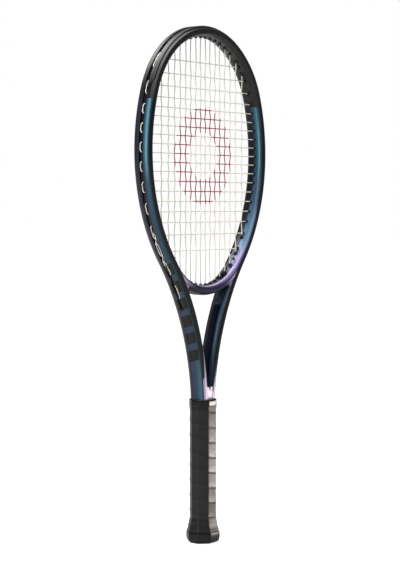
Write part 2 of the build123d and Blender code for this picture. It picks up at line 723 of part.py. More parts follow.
def side_grommets(side):
    upper = ARCS["upper"]
    start = math.asin((BUMPER_END_Z - STRIP_GAP - WIDEST_Z) / upper.radius)
    arcs = [cut_arc(upper, start=start), ARCS["lower"], cut_arc(ARCS["arm"], end=arm_angle(STRIP_END_Z))]
    if side < 0:
        arcs = mirrored(arcs)
    strip = along_rail(strip_section(), arcs)
    mine = [h for h in ALL_HOLES if h.side == side and not h.on_bridge and h.top2[1] < BUMPER_END_Z]
    return with_barrels(strip, mine)


def bridge_grommets():
    half, low = math.radians(BRIDGE_GUARD_ANGLE), -math.pi / 2
    arc = Arc(ARCS["bridge"].centre, BRIDGE_R, low - half, low + half)
    section = guard_section(BRIDGE_WIDTH, BRIDGE_DEPTH, BRIDGE_GUARD_HALF_WIDTH, BRIDGE_GUARD_THICK)
    return with_barrels(along_rail(section, [arc]), [hole for hole in ALL_HOLES if hole.on_bridge])


# ---------------------------------------------------------------- handle
def octagon(sizes, grow=0.0):
    """Octagon from half sizes (x, y, front face, side face), grown by an equal thickness on all eight faces."""
    x, y, front, side = sizes
    face = Polygon(
        (front, y), (-front, y), (-x, side), (-x, -side), (-front, -y), (front, -y), (x, -side), (x, side), align=None
    )
    return offset(face, grow, kind=Kind.INTERSECTION) if grow else face


def prism(sizes, low, high, grow=0.0):
    return extrude(Plane.XY.offset(low) * octagon(sizes, grow), high - low)


def flare(thickness, low, high):
    """Flared end of the handle between two heights: the outside is thickness over the cap's surface under the grip.

    It is rounded octagons lofted up from the foot, through the widest ring, and back to the plain handle.
    """
    foot = [(0.0, 1.0), (0.1, 0.55), (0.3, 0.2), (0.62, 0.05), (1.0, 0.0)]
    rings = [(share * CAP_FLARE_Z, CAP_FLARE - inset * CAP_FOOT_INSET) for share, inset in foot]
    for share in (0.25, 0.5, 0.75, 1.0):
        z = CAP_FLARE_Z + share * (CAP_SLEEVE_TOP_Z - CAP_FLARE_Z)
        rings.append((z, CAP_WALL + (CAP_FLARE - CAP_WALL) * (1 + math.cos(math.pi * share)) / 2))
    rings.append((CAP_SLEEVE_TOP_Z + TAPE_SETTLE, 0.0))
    faces = []
    for z, extra in rings:
        face = octagon(PALLET, extra + thickness)
        faces.append(Plane.XY.offset(z) * fillet(face.vertices(), CAP_CORNER_R))
    return loft(faces) & (Pos(0, 0, (low + high) / 2) * Box(100, 100, high - low))


def handle_pallet(hairpin_outer, filler):
    return prism(PALLET, PALLET_END_Z, PALLET_TOP_Z) - hairpin_outer - filler


def butt_cap():
    cap = flare(GRIP_THICK, 0.0, GRIP_START_Z) + flare(0.0, GRIP_START_Z, CAP_SLEEVE_TOP_Z)
    cap -= prism(PALLET, PALLET_END_Z - PALLET_FIT, CAP_SLEEVE_TOP_Z, PALLET_FIT)
    cap -= Pos(0, 0, CAP_PLATE + 2) * Cylinder(DOOR_R + DOOR_FIT - 1.2, PALLET_END_Z - CAP_PLATE + 4)
    return cap - Pos(0, 0, CAP_PLATE / 2) * Cylinder(DOOR_R + DOOR_FIT, CAP_PLATE)


def trap_door():
    """Push-in cover: a plate, a skirt and crush ribs that grip the cap's opening."""
    body = Pos(0, 0, DOOR_RECESS + DOOR_PLATE / 2) * Cylinder(DOOR_R - DOOR_RIB_R, DOOR_PLATE)
    skirt_height = CAP_PLATE - DOOR_RECESS - DOOR_PLATE - DOOR_FIT
    middle = CAP_PLATE - DOOR_FIT - skirt_height / 2
    skirt = Cylinder(DOOR_R - DOOR_RIB_R, skirt_height) - Cylinder(DOOR_R - DOOR_RIB_R - DOOR_SKIRT, skirt_height)
    body += Pos(0, 0, middle) * skirt
    rib_height = CAP_PLATE - DOOR_FIT - DOOR_RECESS
    for i in range(DOOR_RIBS):
        turn = math.radians(360 / DOOR_RIBS * i)
        reach = DOOR_R - 2 * DOOR_RIB_R
        spot = Pos(reach * math.cos(turn), reach * math.sin(turn), DOOR_RECESS + rib_height / 2)
        body += spot * Cylinder(2 * DOOR_RIB_R, rib_height)
    return body


def staples():
    """Two staples, front and back, that fix the cap to the pallet."""
    made = []
    for side in (-1, 1):
        face = side * (SLEEVE[1])
        crown = Pos(0, face + side * STAPLE_WIRE / 2, STAPLE_Z) * Box(STAPLE_CROWN, STAPLE_WIRE, STAPLE_WIRE)
        for end in (-1, 1):
            x = end * (STAPLE_CROWN - STAPLE_WIRE) / 2
            crown += Pos(x, face - side * STAPLE_LEG / 2, STAPLE_Z) * Box(STAPLE_WIRE, STAPLE_LEG, STAPLE_WIRE)
        made.append(crown.solid())
    return Compound(made)


def grip_tack():
    """Tack that holds the start of the grip to the cap's side."""
    side = Plane(origin=(SLEEVE[0], 0, TACK_Z), z_dir=(1, 0, 0))
    head = Solid.make_cylinder(TACK_HEAD_R, 0.5, side)
    tip = Plane(origin=(SLEEVE[0] - TACK_LENGTH, 0, TACK_Z), z_dir=(1, 0, 0))
    pin = Solid.make_cylinder(TACK_PIN_R, TACK_LENGTH, tip)
    return (Part() + head + pin).solid()


def grip_tape(fixings):
    """The wound grip as one sleeve: it lies on the pallet and on the cap, and follows the cap's flare."""
    settle = CAP_SLEEVE_TOP_Z + TAPE_SETTLE
    low = flare(GRIP_THICK, GRIP_START_Z, settle) - flare(0.0, GRIP_START_Z, CAP_SLEEVE_TOP_Z)
    high = prism(PALLET, settle, GRIP_TOP_Z, GRIP_THICK)
    return low + high - prism(PALLET, CAP_SLEEVE_TOP_Z, GRIP_TOP_Z) - fixings


def finishing_tape():
    low = GRIP_TOP_Z - FINISH_TAPE_WIDTH
    outer, inner = GRIP_THICK + FINISH_TAPE_THICK, GRIP_THICK
    return prism(PALLET, low, GRIP_TOP_Z, outer) - prism(PALLET, low, GRIP_TOP_Z, inner)


def grip_collar():
    """Rubber collar over the grip's upper edge: it grips the tape below and the pallet above."""
    over_tape = GRIP_THICK + FINISH_TAPE_THICK
    body = prism(PALLET, COLLAR_LOW_Z, COLLAR_TOP_Z, over_tape + COLLAR_THICK)
    body -= prism(PALLET, COLLAR_LOW_Z, GRIP_TOP_Z, over_tape)
    return body - prism(PALLET, GRIP_TOP_Z, COLLAR_TOP_Z)


def leg_plug(side):
    """Foam plug in the open end of a leg."""
    face = shrunk(rail_section(depth=LEG_DEPTH), RAIL_WALL)
    plane = Plane(origin=(side * LEG_X, 0, LEG_END_Z), x_dir=(1, 0, 0), z_dir=(0, 0, 1))
    return extrude(plane * face, PLUG_LENGTH) - handle_trim(LEG_SKIN + RAIL_WALL)


# ---------------------------------------------------------------- build
def build():
    outer, full_rail, void = frame_pieces()
    holes = [hole.rod(HOLE_R, start=-2, end=4) for hole in ALL_HOLES]
    filler = web(outer)
    bridge = throat_bridge(full_rail)
    for hole, rod in zip(ALL_HOLES, holes):
        if hole.mouth2[1] < ARCS["lower"].at(ARCS["lower"].end)[1] + RAIL_WIDTH:
            bridge = bridge - rod
    hairpin = outer - void
    for hole, rod in zip(ALL_HOLES, holes):
        if not hole.on_bridge:
            hairpin = hairpin - rod
    fixings = staples(), grip_tack()
    tacks = Part() + list(fixings[0].solids()) + fixings[1]
    return {
        "frame_hairpin": hairpin,
        "throat_bridge": bridge,
        "shaft_web": filler,
        "bumper_guard": bumper_guard(),
        "side_grommets_left": side_grommets(-1),
        "side_grommets_right": side_grommets(1),
        "bridge_grommets": bridge_grommets(),
        "main_string": main_string(),
        "cross_string": cross_string(),
        "main_string_knots": knots([(MAIN_TIES[side], MAIN_TIE_ANCHOR) for side in (-1, 1)]),
        "cross_string_knots": knots([(FIRST_CROSS_TIE, FIRST_CROSS_ANCHOR), (LAST_CROSS_TIE, LAST_CROSS_ANCHOR)]),
        "handle_pallet": handle_pallet(outer, filler) - tacks,
        "butt_cap": butt_cap() - tacks,
        "trap_door": trap_door(),
        "butt_cap_staples": fixings[0],
        "grip_tack": fixings[1],
        "grip_tape": grip_tape(tacks),
        "finishing_tape": finishing_tape(),
        "grip_collar": grip_collar() - outer,
        "leg_plug_left": leg_plug(-1),
        "leg_plug_right": leg_plug(1),
    }


if __name__ == "__main__":
    os.makedirs("parts", exist_ok=True)
    for name, shape in build().items():
        export_step(shape, f"parts/{name}.step")
        print(name, len(shape.solids()), round(shape.volume), shape.is_valid)
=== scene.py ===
# %% [markdown]
# # A strung tennis racket
#
# This lesson dresses a finished CAD model of a tennis racket: a hollow carbon hairpin with a bridge
# closing its head, a nylon bumper over the crown, woven strings, and a handle wound with grip tape over a
# flared butt cap. The CAD model is loaded as a fixed frame. It keeps every size and every joint. Our work
# is on what the eye meets: smooth skins over the frame, the ridges of the wound tape, and a finish for
# each piece.
#
# The frame is in metres, with the origin at the centre of the butt, Z up the handle, X across the head,
# and the front of the racket at -Y. We work in millimetres, because that is how a racket is measured, and
# turn to metres once, when a mesh is made.

import math

import bpy
import numpy as np
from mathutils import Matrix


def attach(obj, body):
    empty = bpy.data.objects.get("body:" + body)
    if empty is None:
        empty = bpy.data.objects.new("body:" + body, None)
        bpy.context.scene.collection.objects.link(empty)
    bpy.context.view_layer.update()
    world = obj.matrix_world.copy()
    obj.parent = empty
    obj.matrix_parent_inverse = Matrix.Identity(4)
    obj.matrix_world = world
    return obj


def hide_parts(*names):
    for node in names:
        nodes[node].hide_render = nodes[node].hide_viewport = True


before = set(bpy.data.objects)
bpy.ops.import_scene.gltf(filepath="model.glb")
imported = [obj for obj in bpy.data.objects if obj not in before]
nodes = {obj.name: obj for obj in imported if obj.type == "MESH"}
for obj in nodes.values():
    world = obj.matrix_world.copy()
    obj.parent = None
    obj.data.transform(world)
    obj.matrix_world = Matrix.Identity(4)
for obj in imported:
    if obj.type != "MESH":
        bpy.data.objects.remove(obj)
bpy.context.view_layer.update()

# %% [markdown]
# ## The sizes that every piece shares
#
# The outline of a racket is a chain of arcs that run into each other with no corner. Four kinds of arc
# make the head: a tight one at the crown, a long one down each side above and below the widest point, and
# a tight one at the bridge. One more arc a side carries the tube down the throat. The numbers here are
# the CAD model's own.

# %% Name the sizes of the outline, in millimetres
HEAD_HALF_WIDTH, WIDEST_Z, TIP_Z, BRIDGE_Z = 126.5, 518.0, 678.2, 335.5
CROWN_R, BRIDGE_R = 120.0, 95.0
DEPARTURE = math.radians(38.0)
LEG_X, LEG_END_Z = 7.7, 14.0
RAIL_WIDTH, RAIL_DEPTH, LEG_DEPTH = 12.0, 25.5, 24.0
CHANNEL_HALF_WIDTH, CHANNEL_DEPTH, CHANNEL_END_Z, CHANNEL_FADE = 3.0, 3.0, 314.0, 10.0
FRONT_TAG, BACK_TAG = 0.25, 0.75
HANDLE_TOP_Z, HANDLE_BLEND = 190.0, 6.0


def side_radius(half_width, rise, end_radius):
    """Radius of a long side arc.

    (a^2 + b^2 - 2 b r) / (2 (a - r)), for half width a, rise b and end radius r.
    """
    a, b, r = half_width, rise, end_radius
    return (a * a + b * b - 2 * b * r) / (2 * (a - r))


UPPER_R = side_radius(HEAD_HALF_WIDTH, TIP_Z - WIDEST_Z, CROWN_R)
LOWER_R = side_radius(HEAD_HALF_WIDTH, WIDEST_Z - BRIDGE_Z, BRIDGE_R)
UPPER_X, LOWER_X = HEAD_HALF_WIDTH - UPPER_R, HEAD_HALF_WIDTH - LOWER_R
UPPER_ANGLE = math.atan2(TIP_Z - CROWN_R - WIDEST_Z, -UPPER_X)
LOWER_ANGLE = math.atan2(BRIDGE_Z + BRIDGE_R - WIDEST_Z, -LOWER_X)
SPLIT = (LOWER_X + LOWER_R * math.cos(DEPARTURE), WIDEST_Z - LOWER_R * math.sin(DEPARTURE))
ARM_R = (SPLIT[0] - LEG_X) / (1 - math.cos(DEPARTURE))
LEG_TOP_Z = SPLIT[1] - ARM_R * math.sin(DEPARTURE)
print(f"side arcs {UPPER_R:.1f} and {LOWER_R:.1f} mm, throat arc {ARM_R:.1f} mm")
print(f"legs straight below {LEG_TOP_Z:.1f} mm")

# %% [markdown]
# ## A path and a section
#
# Every tube and strip on the racket is a flat section carried along a stretch of that outline. So one
# function samples the arcs into points with an outward direction at each, and one carries a section along
# them. A section point has two numbers: how far out it is from the centreline, and its Y.


# %% Sample the outline
def arc_points(centre, radius, start, end, step, bent=1):
    """Points c + r (cos a, sin a) for a from start to end, with the outward unit directions.

    On an arc that bends the other way, bent is -1 and turns the directions over.
    """
    count = max(3, int(abs(end - start) * radius / step) + 1)
    angle = np.linspace(start, end, count)
    spoke = np.stack([np.cos(angle), np.sin(angle)], axis=1)
    return np.array(centre) + radius * spoke, bent * spoke


def join(pieces):
    """Chains arcs into one path, leaving out the point that two neighbours share."""
    points = [pieces[0][0]] + [p[1:] for p, _ in pieces[1:]]
    outward = [pieces[0][1]] + [n[1:] for _, n in pieces[1:]]
    return np.concatenate(points), np.concatenate(outward)


def both_sides(path):
    """A right-hand path from the centreline, joined to its mirror image, from left end to right end."""
    points, outward = path
    flip = np.array([-1.0, 1.0])
    return np.concatenate([points[:0:-1] * flip, points]), np.concatenate([outward[:0:-1] * flip, outward])


STEP = 1.6
crown = arc_points((0, TIP_Z - CROWN_R), CROWN_R, math.pi / 2, UPPER_ANGLE, STEP)
upper = arc_points((UPPER_X, WIDEST_Z), UPPER_R, UPPER_ANGLE, 0, STEP)
lower = arc_points((LOWER_X, WIDEST_Z), LOWER_R, 0, -DEPARTURE, STEP)
yoke = arc_points((LOWER_X, WIDEST_Z), LOWER_R, -DEPARTURE, LOWER_ANGLE, STEP)
foot = arc_points((0, BRIDGE_Z + BRIDGE_R), BRIDGE_R, LOWER_ANGLE, -math.pi / 2, STEP)
arm_centre = (SPLIT[0] + ARM_R * math.cos(DEPARTURE), SPLIT[1] - ARM_R * math.sin(DEPARTURE))
arm = arc_points(arm_centre, ARM_R, math.pi - DEPARTURE, math.pi, STEP, bent=-1)
leg_z = np.linspace(LEG_TOP_Z, LEG_END_Z, 90)
leg = np.stack([np.full_like(leg_z, LEG_X), leg_z], axis=1), np.tile([1.0, 0.0], (len(leg_z), 1))
hairpin_path = both_sides(join([crown, upper, lower, arm, leg]))
print("hairpin path:", len(hairpin_path[0]), "points")


# %% Draw sections with rounded corners
SHORTEST_CROWNED = 2.5


def rounded(corners, steps=5, crown_height=0.0):
    """Closed outline through corners (a, b, radius, tag), each an arc tangent to its two sides.

    Each straight side gets three points between its arcs, lifted by a parabola of the given height. The
    tag is spread evenly in between, as a coordinate round the section.
    """
    shape = np.array([c[:2] for c in corners], float)
    radius = np.array([c[2] for c in corners], float)
    tag = np.array([c[3] for c in corners], float)
    before = shape - np.roll(shape, 1, axis=0)
    after = np.roll(before, -1, axis=0)
    before /= np.linalg.norm(before, axis=1, keepdims=True)
    after /= np.linalg.norm(after, axis=1, keepdims=True)
    turn = np.arccos(np.clip((before * after).sum(1), -1, 1))
    reach = radius * np.tan(turn / 2)
    bend = after - before
    bend /= np.linalg.norm(bend, axis=1, keepdims=True)
    centre = shape + bend * (radius / np.cos(turn / 2))[:, None]
    sweep = np.linspace(-0.5, 0.5, steps)[None, :, None] * turn[:, None, None]
    side = np.sign(before[:, 0] * after[:, 1] - before[:, 1] * after[:, 0])[:, None, None]
    spoke = -bend[:, None, :]
    across = np.stack([-spoke[..., 1], spoke[..., 0]], axis=-1) * side
    arcs = centre[:, None, :] + radius[:, None, None] * (np.cos(sweep) * spoke + np.sin(sweep) * across)
    start, end = arcs[:, -1], np.roll(arcs[:, 0], -1, axis=0)
    share = np.array([0.06, 0.5, 0.94])[None, :, None]
    run = end - start
    length = np.linalg.norm(run, axis=1, keepdims=True) + 1e-9
    outward = np.stack([run[:, 1], -run[:, 0]], axis=1) / length * side[:, 0]
    long_side = (length > SHORTEST_CROWNED)[:, None]
    lift = 4 * share * (1 - share) * crown_height * long_side
    sides = start[:, None, :] + share * run[:, None, :] + lift * outward[:, None, :]
    points = np.concatenate([arcs, sides], axis=1).reshape(-1, 2)
    next_tag = np.append(tag[1:], tag[0] + 1)
    side_tags = tag[:, None] + share[..., 0] * (next_tag - tag)[:, None]
    return points, np.concatenate([np.repeat(tag[:, None], steps, 1), side_tags], 1).reshape(-1)


def rail_outline(width, depth):
    """Section of a frame tube.

    Flat front and back faces, slanted shoulders, and the string channel outside.

    The tag runs 0 at the channel, 0.25 at the front face, 0.5 inside the head and 0.75 at the back face.
    """
    w, d, face = width / 2, depth / 2, 0.53 * width / 2
    shoulder, lip, floor = 0.57 * depth / 2, CHANNEL_HALF_WIDTH, width / 2 - CHANNEL_DEPTH
    corners = [
        (floor, -lip, 0.35, 0.04), (w, -lip, 0.5, 0.06), (w, -shoulder, 4.0, 0.13), (face, -d, 1.5, 0.21),
        (-face, -d, 1.5, 0.29), (-w, -shoulder, 4.0, 0.37),
        (-w, shoulder, 4.0, 0.63), (-face, d, 1.5, 0.71),
        (face, d, 1.5, 0.79), (w, shoulder, 4.0, 0.87), (w, lip, 0.5, 0.94), (floor, lip, 0.35, 0.96),
    ]
    return rounded(corners, steps=5, crown_height=0.15)


rail_points, rail_tags = rail_outline(RAIL_WIDTH, RAIL_DEPTH)
print("rail section:", len(rail_points), "points")


# %% Carry a section along a path, and make the mesh
def carry(path, section):
    """Rings of points P + out N in the XZ plane, with the section's own Y, which may change on the way."""
    points, outward = path
    section = np.broadcast_to(section, (len(points),) + np.shape(section)[-2:])
    flat = points[:, None, :] + section[..., :1] * outward[:, None, :]
    return np.stack([flat[..., 0], section[..., 1], flat[..., 1]], axis=-1)


def skin(name, rings, tags=None, ends=True, loop=False, sharp=35.0):
    """Closed surface of quads between rings of points, with a flat face on each end, or a loop with none.

    Its UV map has the tag round a ring as U and the distance along as V, in millimetres.
    """
    rings = np.asarray(rings, float)
    rows, cols = rings.shape[:2]
    r = np.arange(rows if loop else rows - 1)[:, None]
    c = np.arange(cols)[None, :]
    r2, c2 = (r + 1) % rows, (c + 1) % cols
    quads = np.stack([r * cols + c, r * cols + c2, r2 * cols + c2, r2 * cols + c], -1).reshape(-1, 4)
    points = rings.reshape(-1, 3)
    a, b, d, e = (points[quads[:, i]] for i in range(4))
    flux = (np.cross(b - a, d - a) * a).sum() + (np.cross(d - a, e - a) * a).sum()
    tags = np.linspace(0, 1, cols, endpoint=False) if tags is None else tags
    along = np.concatenate([[0], np.cumsum(np.linalg.norm(np.diff(rings.mean(1), axis=0), axis=1))])
    along = np.append(along, along[-1] + 1)
    u = np.stack([tags[c], np.append(tags, tags[0] + 1)[c + 1]] * 2, -1)
    u = np.broadcast_to(u, (len(r), cols, 4))[..., [0, 1, 3, 2]]
    v = np.broadcast_to(np.stack([along[r], along[r], along[r + 1], along[r + 1]], -1), (len(r), cols, 4))
    uv = np.stack([u, v], -1).reshape(-1, 4, 2)
    if flux < 0:
        quads, uv = quads[:, ::-1], uv[:, ::-1]
    faces, uv = quads.tolist(), uv.reshape(-1, 2)
    if ends and not loop:
        first, last = np.arange(cols), (rows - 1) * cols + np.arange(cols)
        caps = [first[::-1], last] if flux > 0 else [first, last[::-1]]
        faces += [cap.tolist() for cap in caps]
        uv = np.concatenate([uv, np.zeros((2 * cols, 2))])
    mesh = bpy.data.meshes.new(name)
    mesh.from_pydata((points / 1000).tolist(), [], faces)
    mesh.uv_layers.new(name="Round").data.foreach_set("uv", uv.ravel())
    mesh.shade_smooth()
    mesh.set_sharp_from_angle(angle=math.radians(sharp))
    mesh.update()
    piece = bpy.data.objects.new(name, mesh)
    bpy.context.scene.collection.objects.link(piece)
    print(f"{name}: {len(points)} points, {len(faces)} faces")
    return piece


# %% [markdown]
# ## The hairpin
#
# The real tube is one carbon hairpin, moulded in one go. Its face is narrow and dark, and its shoulders
# catch long highlights, so the section has flat faces with small radii between them, not an oval. A sweep
# along the outline gives that at every point. Below the head the string channel fades out, and the tube
# gets a little shallower towards the handle, so the section changes along the path.


# %% Make the hairpin
def hairpin_sections(path, points):
    """The rail's section for each point of the path.

    Its channel fills up over a short stretch, its depth shrinks down the arms, and in the handle once
    more.
    """
    z = path[0][:, 1]
    fade = np.clip((CHANNEL_END_Z + CHANNEL_FADE / 2 - z) / CHANNEL_FADE, 0, 1)[:, None]
    fade = fade * fade * (3 - 2 * fade)
    down_the_arm = np.clip((CHANNEL_END_Z - z) / (CHANNEL_END_Z - LEG_TOP_Z), 0, 1)
    in_handle = np.clip((HANDLE_TOP_Z - z) / HANDLE_BLEND, 0, 1)
    shrink = (1 - (1 - LEG_DEPTH / RAIL_DEPTH) * down_the_arm) * (1 - 0.15 * in_handle)
    out = np.broadcast_to(points[:, 0], (len(z), len(points)))
    in_channel = np.abs(points[:, 1]) < CHANNEL_HALF_WIDTH + 0.05
    out = np.where(in_channel, out + (RAIL_WIDTH / 2 - out) * fade, out)
    return np.stack([out, points[:, 1] * shrink[:, None]], axis=-1)


hairpin = skin("hairpin", carry(hairpin_path, hairpin_sections(hairpin_path, rail_points)), rail_tags)
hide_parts("frame_hairpin")

# %% [markdown]
# ## The bridge and the two gussets
#
# The bridge closes the bottom of the head. It is the same kind of tube, a little slimmer, and it grows
# out of the hairpin on each side. Where it leaves the arm the moulding fills the sharp corner with a
# small flat gusset.

# %% Make the bridge
BRIDGE_WIDTH, BRIDGE_DEPTH, BRIDGE_CHANNEL_X = 11.2, 24.3, 36.5
bridge_right = join([(foot[0][::-1], foot[1][::-1]), (yoke[0][::-1], yoke[1][::-1])])
keep = bridge_right[0][:, 0] < SPLIT[0] - 0.5
bridge_path = both_sides((bridge_right[0][keep], bridge_right[1][keep]))
bridge_points, bridge_tags = rail_outline(BRIDGE_WIDTH, BRIDGE_DEPTH)
fill = np.clip((np.abs(bridge_path[0][:, 0]) - BRIDGE_CHANNEL_X) / 2.0, 0, 1)[:, None]
bridge_out = np.broadcast_to(bridge_points[:, 0], (len(fill), len(bridge_points)))
in_channel = np.abs(bridge_points[:, 1]) < CHANNEL_HALF_WIDTH + 0.05
bridge_out = np.where(in_channel, bridge_out + (BRIDGE_WIDTH / 2 - bridge_out) * fill, bridge_out)
bridge_y = np.broadcast_to(bridge_points[:, 1], bridge_out.shape)
bridge = skin("bridge", carry(bridge_path, np.stack([bridge_out, bridge_y], -1)), bridge_tags)
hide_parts("throat_bridge")


# %% Fill the two corners under the bridge
def arm_x(z):
    """Half distance between the arms' centrelines at height z."""
    z = np.maximum(z, LEG_TOP_Z)
    return arm_centre[0] - np.sqrt(ARM_R**2 - (z - arm_centre[1]) ** 2)


GUSSET_TOP_Z, GUSSET_END_Z, GUSSET_CORNER_X, GUSSET_HOLLOW = 366.0, 334.3, 40.1, 2.6


def gusset(side, half_depth=11.2, rows=18):
    """A plate between the arm's centreline and the bridge's, in straight lines from one to the other.

    The lines start at the arm between two heights and end on the bridge between the same top and a lower
    corner. The line's middle is lifted by a parabola that grows towards the bottom edge, which makes that
    edge hollow.
    """
    share = np.linspace(0, 1, rows)
    arm_z = GUSSET_TOP_Z - share * (GUSSET_TOP_Z - GUSSET_END_Z)
    at_arm = np.stack([arm_x(arm_z), arm_z], -1)
    ring, _ = bridge_right
    order = np.argsort(ring[:, 0])
    top_x = np.interp(GUSSET_TOP_Z, ring[order, 1], ring[order, 0])
    bridge_x = top_x * (1 - share) + GUSSET_CORNER_X * share
    at_bridge = np.stack([bridge_x, np.interp(bridge_x, ring[order, 0], ring[order, 1])], -1)
    across = np.linspace(0, 1, 9)[None, :, None]
    line = at_arm[:, None] * (1 - across) + at_bridge[:, None] * across
    line = line + 4 * across * (1 - across) * share[:, None, None] ** 4 * np.array([0.0, GUSSET_HOLLOW])
    flat = np.concatenate([line, line[:, ::-1]], 1)
    y = np.repeat([-half_depth, half_depth], across.size)
    rings = np.stack([side * flat[..., 0], np.broadcast_to(y, flat.shape[:2]), flat[..., 1]], -1)
    tags = np.repeat([FRONT_TAG, BACK_TAG], across.size)
    return skin(f"gusset_{'left' if side < 0 else 'right'}", rings, tags, sharp=30)


gussets = [gusset(side) for side in (-1, 1)]

# %% [markdown]
# ## The web between the legs
#
# Below the fork the two legs run down side by side, and a filler closes the narrow gap between them. Its
# top is a small V where the throat starts. It is a grid over the gap, front and back: the grid's heights
# are cut off at the V, which is a tip plus a slope times the distance from the centre.

# %% Make the web
WEB_END_Z, NOTCH_TIP_Z, NOTCH_SLOPE = 60.0, 200.5, 2.4
WEB_INTO_LEG, WEB_RECESS, WEB_HANDLE_RECESS = 3.6, 0.35, 2.6
low_z = np.linspace(WEB_END_Z, NOTCH_TIP_Z - 4, 40)
notch_z = np.linspace(NOTCH_TIP_Z - 3, NOTCH_TIP_Z + 6, 14)
web_z = np.concatenate([low_z, notch_z])
web_share = np.linspace(-1, 1, 15)
web_half = arm_x(web_z) - WEB_INTO_LEG
web_x = web_half[:, None] * web_share
web_top = np.minimum(web_z[:, None], NOTCH_TIP_Z + NOTCH_SLOPE * np.abs(web_x))
recess = WEB_RECESS + WEB_HANDLE_RECESS * np.clip((HANDLE_TOP_Z - web_top) / HANDLE_BLEND, 0, 1)
web_y = np.broadcast_to(0.5 * LEG_DEPTH - recess, web_x.shape)
web_front, web_back = np.stack([web_x, -web_y, web_top], -1), np.stack([web_x, web_y, web_top], -1)
web_tags = np.repeat([FRONT_TAG, BACK_TAG], len(web_share))
web = skin("leg_web", np.concatenate([web_front, web_back[:, ::-1]], axis=1), web_tags)
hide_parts("shaft_web")

# %% [markdown]
# ## The bumper guard
#
# A nylon guard takes the knocks over the crown. It has two raised bands with a slot between them, where
# the strings lie out of harm's way, and its wings end in a slanted cut. It follows the rail's own outer
# side at a constant thickness, so its surface is worked out from that side: a height over each Y.

# %% Make the bumper guard
BUMPER_THICK, BUMPER_HALF_WIDTH, BUMPER_END_HALF_WIDTH = 1.6, 9.5, 3.4
BUMPER_END_Z, BUMPER_CUT_RISE = 594.0, 13.0
outer_y = np.array([-12.75, -7.27, -3.0, 3.0, 7.27, 12.75])
outer_out = np.array([3.2, 6.0, 6.0, 6.0, 6.0, 3.2])


def guard_section(half_width, slot=2.35, slot_floor=4.0):
    """Closed outline of the guard at one place: bands, slot, and an underside just in the rail.

    A band's top is the rail's own height at that Y plus the guard's thickness times a share that falls at
    its edges.
    """
    share = np.array([0, 0, 0.012, 0.05, 0.3, 0.62, 0.93, 0.985, 1, 1, 1])
    height = np.array([-0.3, 0.55, 0.86, 1, 1.0, 1.0, 1.0, 0.93, 0.7, 0, 0])
    y = slot + (half_width - slot) * (1 - share)
    rail = np.interp(-y, outer_y, outer_out) + 0.05
    out = rail + BUMPER_THICK * height
    out[-2:] = slot_floor
    y[-1] = 0.4 * slot
    top = np.stack([out, -y], -1)
    mirrored = top[::-1] * [1, -1]
    under_y = np.linspace(half_width, -half_width, 9)
    under = np.stack([np.interp(under_y, outer_y, outer_out) - 0.35, under_y], -1)[1:-1]
    under[:, 0] = np.where(np.abs(under[:, 1]) < 3.2, 3.05, under[:, 0])
    return np.concatenate([top, mirrored, under])


bumper_start = math.asin((BUMPER_END_Z - WIDEST_Z) / UPPER_R)
bumper_side = arc_points((UPPER_X, WIDEST_Z), UPPER_R, UPPER_ANGLE, bumper_start, 1.0)
bumper_crown = arc_points((0, TIP_Z - CROWN_R), CROWN_R, math.pi / 2, UPPER_ANGLE, 1.2)
bumper_path = both_sides(join([bumper_crown, bumper_side]))
cut = np.clip((bumper_path[0][:, 1] - BUMPER_END_Z) / BUMPER_CUT_RISE, 0, 1)
widths = BUMPER_END_HALF_WIDTH + (BUMPER_HALF_WIDTH - BUMPER_END_HALF_WIDTH) * cut
bumper_sections = np.stack([guard_section(half_width) for half_width in widths])
bumper_tags = np.linspace(0, 1, bumper_sections.shape[1], endpoint=False)
bumper = skin("bumper", carry(bumper_path, bumper_sections), bumper_tags, sharp=40)
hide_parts("bumper_guard")

# %% [markdown]
# ## The grommets' noses
#
# Every string leaves the tube through a nylon barrel, whose nose stands out of the inner side like a
# blunt tooth. There are dozens of them, so one small turned ring of few faces is set at every hole in one
# go. A hole is where a string's line meets the inner side of the ring, and its nose leans halfway from
# the tube to the string.

# %% Find the holes
MAIN_X = [5.2, 16.0, 27.0, 38.0, 49.5, 61.8, 74.9, 89.6]
FIRST_CROSS_Z = 637.0
CROSS_GAPS = [18.4, 16.3, 15.0, 12.6, 11.9] + [11.8] * 5 + [12.0, 12.5, 12.9, 13.1, 13.5, 14.0, 16.1, 21.1]
CROSS_Z = FIRST_CROSS_Z - np.concatenate([[0], np.cumsum(CROSS_GAPS)])
ring_path = join([crown, upper, lower, yoke, foot])


def meetings(path, axis, value, inset):
    """Places and outward directions where the path, moved in by inset, crosses a line of constant x or z.

    A crossing is a step between two points on either side of the line, and the place is its share of that
    step.
    """
    inner = path[0] - inset * path[1]
    over = inner[:, axis] - value
    i = np.nonzero(over[:-1] * over[1:] <= 0)[0]
    share = (over[i] / (over[i] - over[i + 1]))[:, None]
    return inner[i] * (1 - share) + inner[i + 1] * share, path[1][i] * (1 - share) + path[1][i + 1] * share


def half_way(outward, line):
    """Unit directions halfway between the tube's inward normal and the string's own inward line."""
    inward = -outward
    along = np.broadcast_to(line, inward.shape) * np.sign((inward * line).sum(1, keepdims=True))
    middle = inward + along
    return middle / np.linalg.norm(middle, axis=1, keepdims=True)


holes = []
for axis, values in ((0, MAIN_X), (1, CROSS_Z)):
    for value in values:
        where, outward = meetings(ring_path, axis, value, RAIL_WIDTH / 2)
        holes.append(np.concatenate([where, half_way(outward, np.eye(2)[1 - axis])], axis=1))
holes = np.concatenate(holes)
holes = np.concatenate([holes, holes * [-1, 1, -1, 1]])
print(len(holes), "holes")


